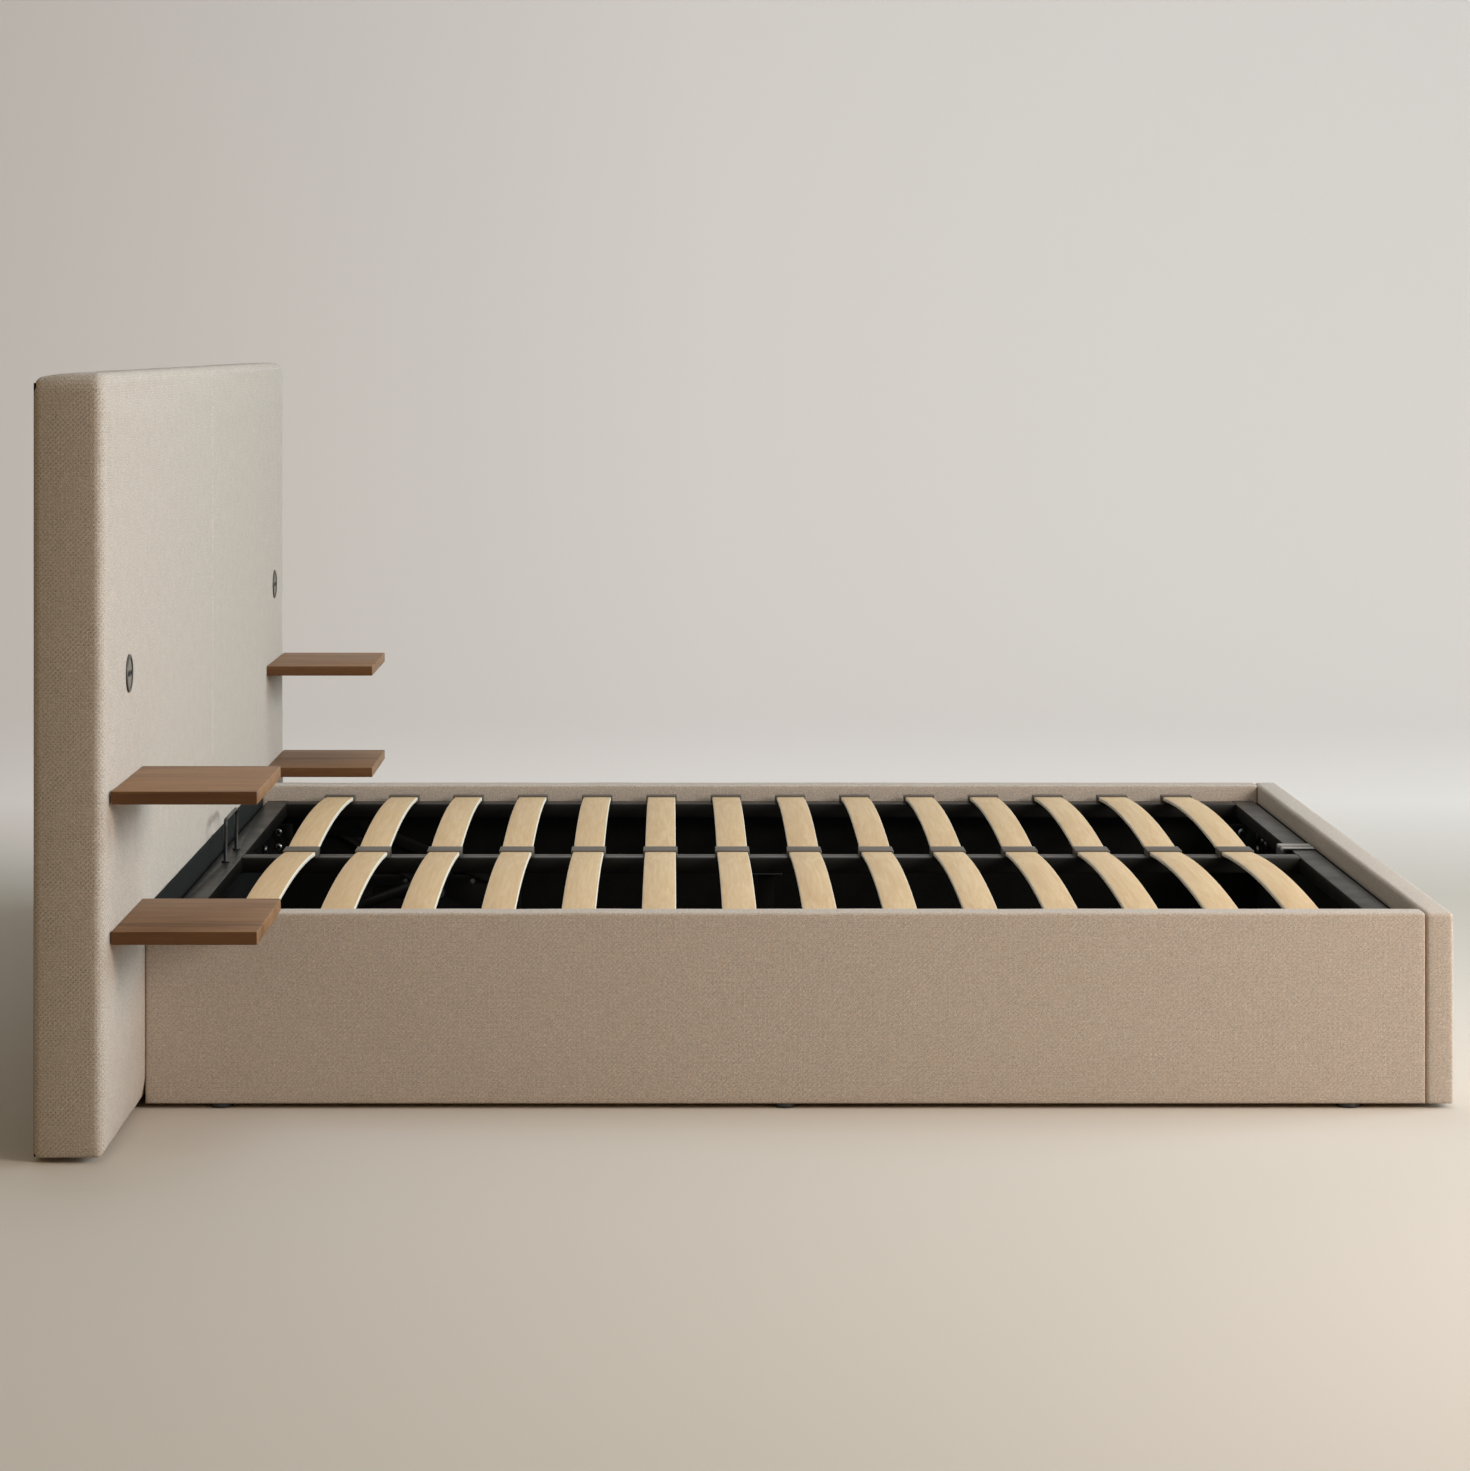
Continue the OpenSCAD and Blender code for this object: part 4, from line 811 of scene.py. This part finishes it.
def socket(side):
    """A charging socket: turned bezel, dished disc and dark insert."""
    low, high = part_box("socket_bezel_" + side)
    centre = Vector((low.x, (low.y + high.y) / 2, (low.z + high.z) / 2))
    outer = (high.y - low.y) / 2
    depth = high.x - low.x
    sleeve = outer - 0.0035
    inner = outer - 0.0065
    seat = depth - 0.0025
    profile = [
        (inner, 0), (sleeve, 0), (sleeve, seat), (outer, seat), (outer, seat + 0.0006),
        (outer - 0.0004, seat + 0.0014), (outer - 0.0012, seat + 0.0021), (outer - 0.0024, depth),
        (inner + 0.0012, depth), (inner + 0.0005, depth - 0.0003), (inner + 0.0001, depth - 0.001),
    ]
    finished("bezel_ring_" + side, turned(profile, centre), "bezel", "base", ["socket_bezel_" + side], 30.0)
    painted("socket_face_" + side)
    socket_insert(side)


# Slats


def slat_rows():
    """Both rows of slats, bowed upwards, each slat with eased edges and a tint of its own."""
    look = settings("bed_wood")
    for side, sign in zip(SIDES, (-1, 1)):
        node = "slats_" + side
        low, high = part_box(node)
        inner, outer = sorted((abs(low.y), abs(high.y)))
        one = block((-SLAT_WIDTH / 2, inner, 0), (SLAT_WIDTH / 2, outer, SLAT_THICKNESS))
        round_edges(one, one.edges[:], look.slat_edge, 3)
        slice_along(one, 1, steps_between(inner, outer, 0.02))
        one.normal_update()
        # Marks the slats' side faces for the paler edge colour, which is partly painted highlight.
        cut = one.faces.layers.float.new("cut")
        for face in one.faces:
            face[cut] = float(abs(face.normal.x) > 0.35)
        for vert in one.verts:
            share = (vert.co.y - inner) / (outer - inner) * 2 - 1
            vert.co.z += low.z + SLAT_BOW * (1 - share * share)
            vert.co.y *= sign
        if sign < 0:
            bmesh.ops.reverse_faces(one, faces=one.faces)
        one.verts.layers.float.new("tint")
        mesh = mesh_of("slat", one)
        row = bmesh.new()
        places = sorted(round((left.x + right.x) / 2, 4) for left, right in islands(node))
        for number, x in enumerate(places):
            before = len(row.verts)
            row.from_mesh(mesh)
            row.verts.ensure_lookup_table()
            tint = row.verts.layers.float["tint"]
            added = row.verts[before:]
            # The first four slats at the head end get more of the darker tint, most at the first.
            value = 0.5 + 0.5 * math.sin(12.9898 * number + 5.1 * sign) + 2 * max(0.0, 1 - number / 4)
            for vert in added:
                vert[tint] = value
            shift(row, (x, 0, 0), added)
        bpy.data.meshes.remove(mesh)
        finished("bowed_slats_" + side, row, "beech", "slat_frame", [node], 40.0)


# Small steel parts


def joined(name, parts, slot, body, nodes=()):
    """One piece made of several small meshes."""
    whole = bmesh.new()
    for part in parts:
        mesh = mesh_of("part", part)
        whole.from_mesh(mesh)
        bpy.data.meshes.remove(mesh)
    finished(name, whole, slot, body, nodes)


def rod(radius, length, segments):
    """A round rod along Z, with its middle at the origin."""
    bm = bmesh.new()
    bmesh.ops.create_cone(bm, cap_ends=True, segments=segments, radius1=radius, radius2=radius, depth=length)
    return bm


def aimed(bm, place, axis):
    """Moves a part drawn along Z so that it points along an axis from a place."""
    turn = Vector((0, 0, 1)).rotation_difference(Vector(axis)).to_matrix()
    bmesh.ops.rotate(bm, cent=(0, 0, 0), matrix=turn, verts=bm.verts)
    shift(bm, place)
    return bm


def bolt_head(radius, height, key=0.0029, depth=0.0022):
    """A domed head with a hexagon socket, drawn along Z from its seat."""
    bm = bmesh.new()
    loops = []
    for size, z in (
        (radius, 0.0), (radius, height * 0.45), (radius * 0.93, height * 0.68),
        (radius * 0.8, height * 0.87), (radius * 0.62, height), (key * 1.16, height),
    ):
        made = bmesh.ops.create_circle(bm, cap_ends=False, segments=24, radius=size)["verts"]
        shift(bm, (0, 0, z), made)
        loops.append(made)
    for vert in loops[-1]:
        angle = math.atan2(vert.co.y, vert.co.x) % (math.pi / 3) - math.pi / 6
        vert.co.xy *= key / math.cos(angle) / vert.co.xy.length
    rings = [[edge for edge in bm.edges if all(v in loop for v in edge.verts)] for loop in loops]
    for below, above in zip(rings, rings[1:]):
        bmesh.ops.bridge_loops(bm, edges=below + above)
    wall = bmesh.ops.extrude_edge_only(bm, edges=rings[-1])["geom"]
    shift(bm, (0, 0, -depth), [item for item in wall if isinstance(item, bmesh.types.BMVert)])
    bmesh.ops.holes_fill(bm, edges=[edge for edge in bm.edges if edge.is_boundary], sides=0)
    outwards(bm)
    return bm


def islands(node):
    """The loose solids of a CAD node, each as its lowest and highest corner."""
    bm = solid_copy(node)
    left = set(bm.verts)
    boxes = []
    while left:
        group = [left.pop()]
        for vert in group:
            for edge in vert.link_edges:
                other = edge.other_vert(vert)
                if other in left:
                    left.remove(other)
                    group.append(other)
        boxes.append([Vector(pick(v.co[i] for v in group) for i in range(3)) for pick in (min, max)])
    bm.free()
    return boxes


def panel_bolts():
    """Domed bolts with hexagon sockets in the brackets, on plain shanks."""
    head_h, head_r, shank_r = 0.004, 0.0075, 0.004
    inner = {0: (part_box("head_panel")[1].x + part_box("lining_foot")[0].x) / 2, 1: 0.0}
    parts = []
    for low, high in islands("panel_bolts"):
        along = max(range(3), key=lambda i: high[i] - low[i])
        centre = (low + high) / 2
        towards = 1.0 if centre[along] < inner[along] else -1.0
        axis = Vector()
        axis[along] = towards
        tip = centre.copy()
        tip[along] = high[along] if towards > 0 else low[along]
        parts.append(aimed(bolt_head(head_r, head_h), tip - axis * head_h, axis))
        length = high[along] - low[along] - head_h
        parts.append(aimed(rod(shank_r, length, 20), tip - axis * (head_h + length / 2), axis))
    joined("socket_bolts", parts, "zinc", "base", ["panel_bolts"])


def bead(start, end, radius=0.0021):
    """A weld bead between two points, with its ripples."""
    start, end = Vector(start), Vector(end)
    length = (end - start).length
    bm = rod(radius, length, 8)
    slice_along(bm, 2, steps_between(-length / 2, length / 2, 0.0011))
    for vert in bm.verts:
        vert.co.xy *= 1 + 0.13 * math.sin(vert.co.z / 0.0022 * math.tau)
    return aimed(bm, (start + end) / 2, end - start)


def weld_beads():
    """Beads in the corners where the side tubes and the centre rail meet the cross bars."""
    head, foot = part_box("head_bar")[1].x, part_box("foot_bar")[0].x
    low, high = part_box("centre_rail")
    near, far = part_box("side_tube_near")[1].y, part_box("side_tube_far")[0].y
    inset = 0.002
    parts = []
    for x, lean in ((head, 1), (foot, -1)):
        for y in (low.y, high.y, near, far):
            parts.append(bead((x, y, low.z + inset), (x, y, high.z - inset)))
        for y0, y1 in ((low.y, high.y), (near - 0.043, near), (far, far + 0.043)):
            parts.append(bead((x, y0 + inset, low.z), (x, y1 - inset, low.z)))
    joined("weld_beads", parts, "frame_steel", "slat_frame")


def staples():
    """Staples along the hem of the lining."""
    parts = []
    for node in ("lining_near", "lining_far", "lining_foot"):
        low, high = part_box(node)
        along, across = run_of(low, high)
        inner = low[across] if (low[across] + high[across]) / 2 > 0 else high[across]
        depth = sorted((inner - 0.0003, inner - math.copysign(0.0006, inner)))
        height = (high.z - 0.012, high.z - 0.0113)
        for place in steps_between(low[along] + 0.02, high[along] - 0.02, 0.07):
            ends = {along: (place - 0.0055, place + 0.0055), across: depth, 2: height}
            parts.append(block(*([ends[axis][end] for axis in range(3)] for end in (0, 1))))
    joined("hem_staples", parts, "zinc", "base")


# Operators


class BED_OT_upholstery(bpy.types.Operator):
    """Cover the headboard, the side rails and the foot panel with woven fabric"""

    bl_idname = "bed.upholstery"
    bl_label = "Upholstery"

    def execute(self, context):
        headboard_cover()
        for side in SIDES:
            panel_cover("rail_fabric_" + side, "rail_cover_" + side)
        panel_cover("foot_fabric", "foot_cover")
        return {"FINISHED"}


class BED_OT_lining(bpy.types.Operator):
    """Line the inside of the box"""

    bl_idname = "bed.lining"
    bl_label = "Lining"

    def execute(self, context):
        for side in SIDES:
            lining_cloth("lining_cloth_" + side, "lining_" + side)
        lining_cloth("lining_cloth_foot", "lining_foot")
        return {"FINISHED"}


class BED_OT_shelves(bpy.types.Operator):
    """Finish the four walnut shelves"""

    bl_idname = "bed.shelves"
    bl_label = "Shelves"

    def execute(self, context):
        shelves = [f"shelf_{side}_{level}" for side in SIDES for level in ("lower", "upper")]
        eased_copies(shelves, settings("bed_wood").shelf_edge, 3)
        return {"FINISHED"}


class BED_OT_sockets(bpy.types.Operator):
    """Build the two charging sockets"""

    bl_idname = "bed.sockets"
    bl_label = "Charging sockets"

    def execute(self, context):
        for side in SIDES:
            socket(side)
        return {"FINISHED"}


class BED_OT_slats(bpy.types.Operator):
    """Bow the slats and finish their holders"""

    bl_idname = "bed.slats"
    bl_label = "Slats"

    def execute(self, context):
        slat_rows()
        eased_copies(("outer_holders", "inner_holders"), settings("bed_plastic").edge)
        return {"FINISHED"}


class BED_OT_frame_steel(bpy.types.Operator):
    """Finish the tubes of the slatted frame and what is fixed to them"""

    bl_idname = "bed.frame_steel"
    bl_label = "Slatted frame"

    def execute(self, context):
        edge = settings("bed_metal").edge
        eased_copies(("side_tube_near", "side_tube_far", "head_bar", "foot_bar", "centre_rail"), edge * 3, 3)
        eased_copies(("centre_leg", "frame_bracket_near", "frame_bracket_far", "retainers"), edge)
        weld_beads()
        painted("tube_plugs", "leg_foot", "bracket_fixings")
        return {"FINISHED"}


class BED_OT_lift(bpy.types.Operator):
    """Finish the lift linkage and its gas struts"""

    bl_idname = "bed.lift"
    bl_label = "Lift"

    def execute(self, context):
        nodes = ("lift_plate", "rear_arm", "front_arm", "strut_cylinder", "strut_rod")
        eased_copies([f"{node}_{side}" for side in SIDES for node in nodes], settings("bed_metal").edge)
        painted("plate_screws", "plate_pins")
        return {"FINISHED"}


class BED_OT_box_fittings(bpy.types.Operator):
    """Finish the boards, floor, brackets, bolts and glides of the box"""

    bl_idname = "bed.box_fittings"
    bl_label = "Box"

    def execute(self, context):
        eased_copies(["head_panel"], 0.002, 3)
        eased_copies(("corner_brackets", "frame_rests"), settings("bed_metal").edge)
        eased_copies(("glides", "rest_pads"), settings("bed_plastic").edge)
        painted(
            "headboard_timber", "headboard_back", "rail_board_near", "rail_board_far", "foot_board",
            "floor_battens", "floor_panel_near", "floor_panel_far", "shelf_rods",
        )
        panel_bolts()
        staples()
        return {"FINISHED"}


class BED_OT_strap(bpy.types.Operator):
    """Weave the pull strap"""

    bl_idname = "bed.strap"
    bl_label = "Pull strap"

    def execute(self, context):
        bm = solid_copy("pull_strap")
        finished("webbing_strap", bm, "strap", "slat_frame", ["pull_strap"], 40.0, mapped=True)
        return {"FINISHED"}


class BED_OT_stage(bpy.types.Operator):
    """Set up the floor, the backdrop, the lamps and the camera"""

    bl_idname = "bed.stage"
    bl_label = "Stage"

    def execute(self, context):
        look = settings("bed_stage")
        floor_and_backdrop(look)
        soft_lamp("window", 4.0, 3.0, (7.0, 0.5, 2.1), (-0.8, 0, 0.5))
        soft_lamp("side", 1.6, 1.6, SIDE_LAMP_PLACE, (0.2, -0.6, 0.2))
        soft_lamp("top", 4.0, 4.0, (0.4, 0.2, 4.4), (0, 0, 0))
        context.scene.world = pale_sky(look)
        camera_at(look)
        context.scene.view_settings.view_transform = "Standard"
        return {"FINISHED"}


def pale_sky(look):
    """Light from all round, which the camera and mirror images see as pale as the backdrop."""
    sky = bpy.data.worlds.new("sky")
    sky.use_nodes = True
    nodes = Nodes(sky.node_tree)
    tone = nodes.mix(nodes.seen(), shade(look.sky_tint, look.sky), look.haze)
    nodes.put(sky.node_tree.nodes["Background"].inputs["Color"], tone)
    return sky


def floor_finish(look):
    """Pale paint, which the camera sees fading into haze far out and under the side lamp."""
    mat = Finish("pale_floor", 0.6, specular=0.2)
    seen = mat.seen()
    where = mat.place()
    x, y, _ = mat.node("SeparateXYZ", {0: where}).outputs
    glow = mat.times(mat.between(y, 1.3, 2.8), mat.between(x, -4.5, 0.0, 0.55, 1.0))
    mat.give({
        "Base Color": mat.mix(seen, shade(look.floor, 0.62), look.floor),
        "Emission Color": look.glow,
        "Emission Strength": mat.times(glow, seen),
    })
    under_lamp = (*SIDE_LAMP_PLACE[:2], 0.0)
    away = mat.node("VectorMath", {0: where, 1: under_lamp}, operation="DISTANCE").outputs["Value"]
    sides = mat.between(mat.math("ABSOLUTE", x), 4.0, 11.0)
    far = mat.math("MAXIMUM", sides, mat.between(y, -3.5, -10.0))
    far = mat.math("MAXIMUM", far, mat.between(away, 2.45, 0.9, 0.0, 0.85))
    haze = mat.node("Emission", {"Color": look.haze, "Strength": 1.0}).outputs[0]
    hidden = mat.times(far, seen)
    faded = mat.node("MixShader", {0: hidden, 1: mat.surface.outputs[0], 2: haze}).outputs[0]
    behind = mat.node("NewGeometry").outputs["Backfacing"]
    clear = mat.node("BsdfTransparent").outputs[0]
    one_sided = mat.node("MixShader", {0: behind, 1: faded, 2: clear}).outputs[0]
    mat.put(mat.tree.nodes["Material Output"].inputs["Surface"], one_sided)
    return mat.material


def floor_and_backdrop(look):
    """A pale floor that turns up smoothly into a backdrop behind the bed, clear when seen from behind."""
    steps = 24
    profile = [(-FLOOR_REACH, 0.0)]
    for number in range(steps + 1):
        angle = number / steps * math.pi / 2
        lift = BACKDROP_RADIUS * (1 - math.cos(angle))
        profile.append((BACKDROP_PLACE - BACKDROP_RADIUS * (1 - math.sin(angle)), lift))
    profile.append((BACKDROP_PLACE, BACKDROP_RADIUS + BACKDROP_RISE))
    bm = bmesh.new()
    line = [bm.verts.new((-FLOOR_REACH, y, z)) for y, z in profile]
    edges = [bm.edges.new(pair) for pair in zip(line, line[1:])]
    grown = bmesh.ops.extrude_edge_only(bm, edges=edges)["geom"]
    shift(bm, (2 * FLOOR_REACH, 0, 0), [item for item in grown if isinstance(item, bmesh.types.BMVert)])
    outwards(bm)
    if min(bm.faces, key=lambda face: face.calc_center_median().y).normal.z < 0:
        bmesh.ops.reverse_faces(bm, faces=bm.faces)
    mesh = mesh_of("floor", bm)
    mesh.shade_smooth()
    mesh.materials.append(floor_finish(look))
    floor = in_scene("floor", mesh)


def soft_lamp(name, width, height, place, target):
    look = settings("bed_stage")
    lamp = bpy.data.lights.new(name + "_lamp", "AREA")
    lamp.shape = "RECTANGLE"
    lamp.size, lamp.size_y = width, height
    lamp.energy = getattr(look, name)
    lamp.color = getattr(look, name + "_tint")
    stand = in_scene(lamp.name, lamp)
    stand.location = place
    stand.rotation_euler = (Vector(target) - Vector(place)).to_track_quat("-Z", "Y").to_euler()


def camera_at(look):
    """The camera, square on to the bed's near side."""
    lens = bpy.data.cameras.new("camera")
    lens.sensor_fit = "AUTO"
    lens.sensor_width = 36
    lens.lens = look.lens
    lens.shift_x, lens.shift_y = 0.04296, -0.26867
    camera = in_scene("camera", lens)
    camera.location = (-0.1488, -6.2079, 1.23)
    camera.rotation_euler = (math.pi / 2, 0, 0)
    bpy.context.scene.camera = camera


class BED_PT_pieces(bpy.types.Panel):
    """Lists the bed's pieces and their settings"""

    bl_label = "Ottoman bed"
    bl_idname = "BED_PT_pieces"
    bl_space_type = "VIEW_3D"
    bl_region_type = "UI"
    bl_category = "Bed"

    def draw(self, context):
        for operator in OPERATORS:
            self.layout.operator(operator.bl_idname)
        for name, group in SETTINGS.items():
            box = self.layout.box()
            for field in group.__annotations__:
                box.prop(getattr(context.scene, name), field)


OPERATORS = (
    BED_OT_stage,
    BED_OT_upholstery,
    BED_OT_lining,
    BED_OT_shelves,
    BED_OT_sockets,
    BED_OT_slats,
    BED_OT_frame_steel,
    BED_OT_lift,
    BED_OT_box_fittings,
    BED_OT_strap,
)
SETTINGS = {
    "bed_upholstery": UpholsterySettings,
    "bed_wood": WoodSettings,
    "bed_metal": MetalSettings,
    "bed_plastic": PlasticSettings,
    "bed_stage": StageSettings,
}
CLASSES = (*SETTINGS.values(), *OPERATORS, BED_PT_pieces)


def register():
    for item in CLASSES:
        bpy.utils.register_class(item)
    for name, group in SETTINGS.items():
        setattr(bpy.types.Scene, name, PointerProperty(type=group))


def unregister():
    for name in SETTINGS:
        delattr(bpy.types.Scene, name)
    for item in reversed(CLASSES):
        bpy.utils.unregister_class(item)


def main():
    register()
    for operator in OPERATORS:
        getattr(bpy.ops.bed, operator.bl_idname.split(".")[1])()


if __name__ == "__main__":
    main()
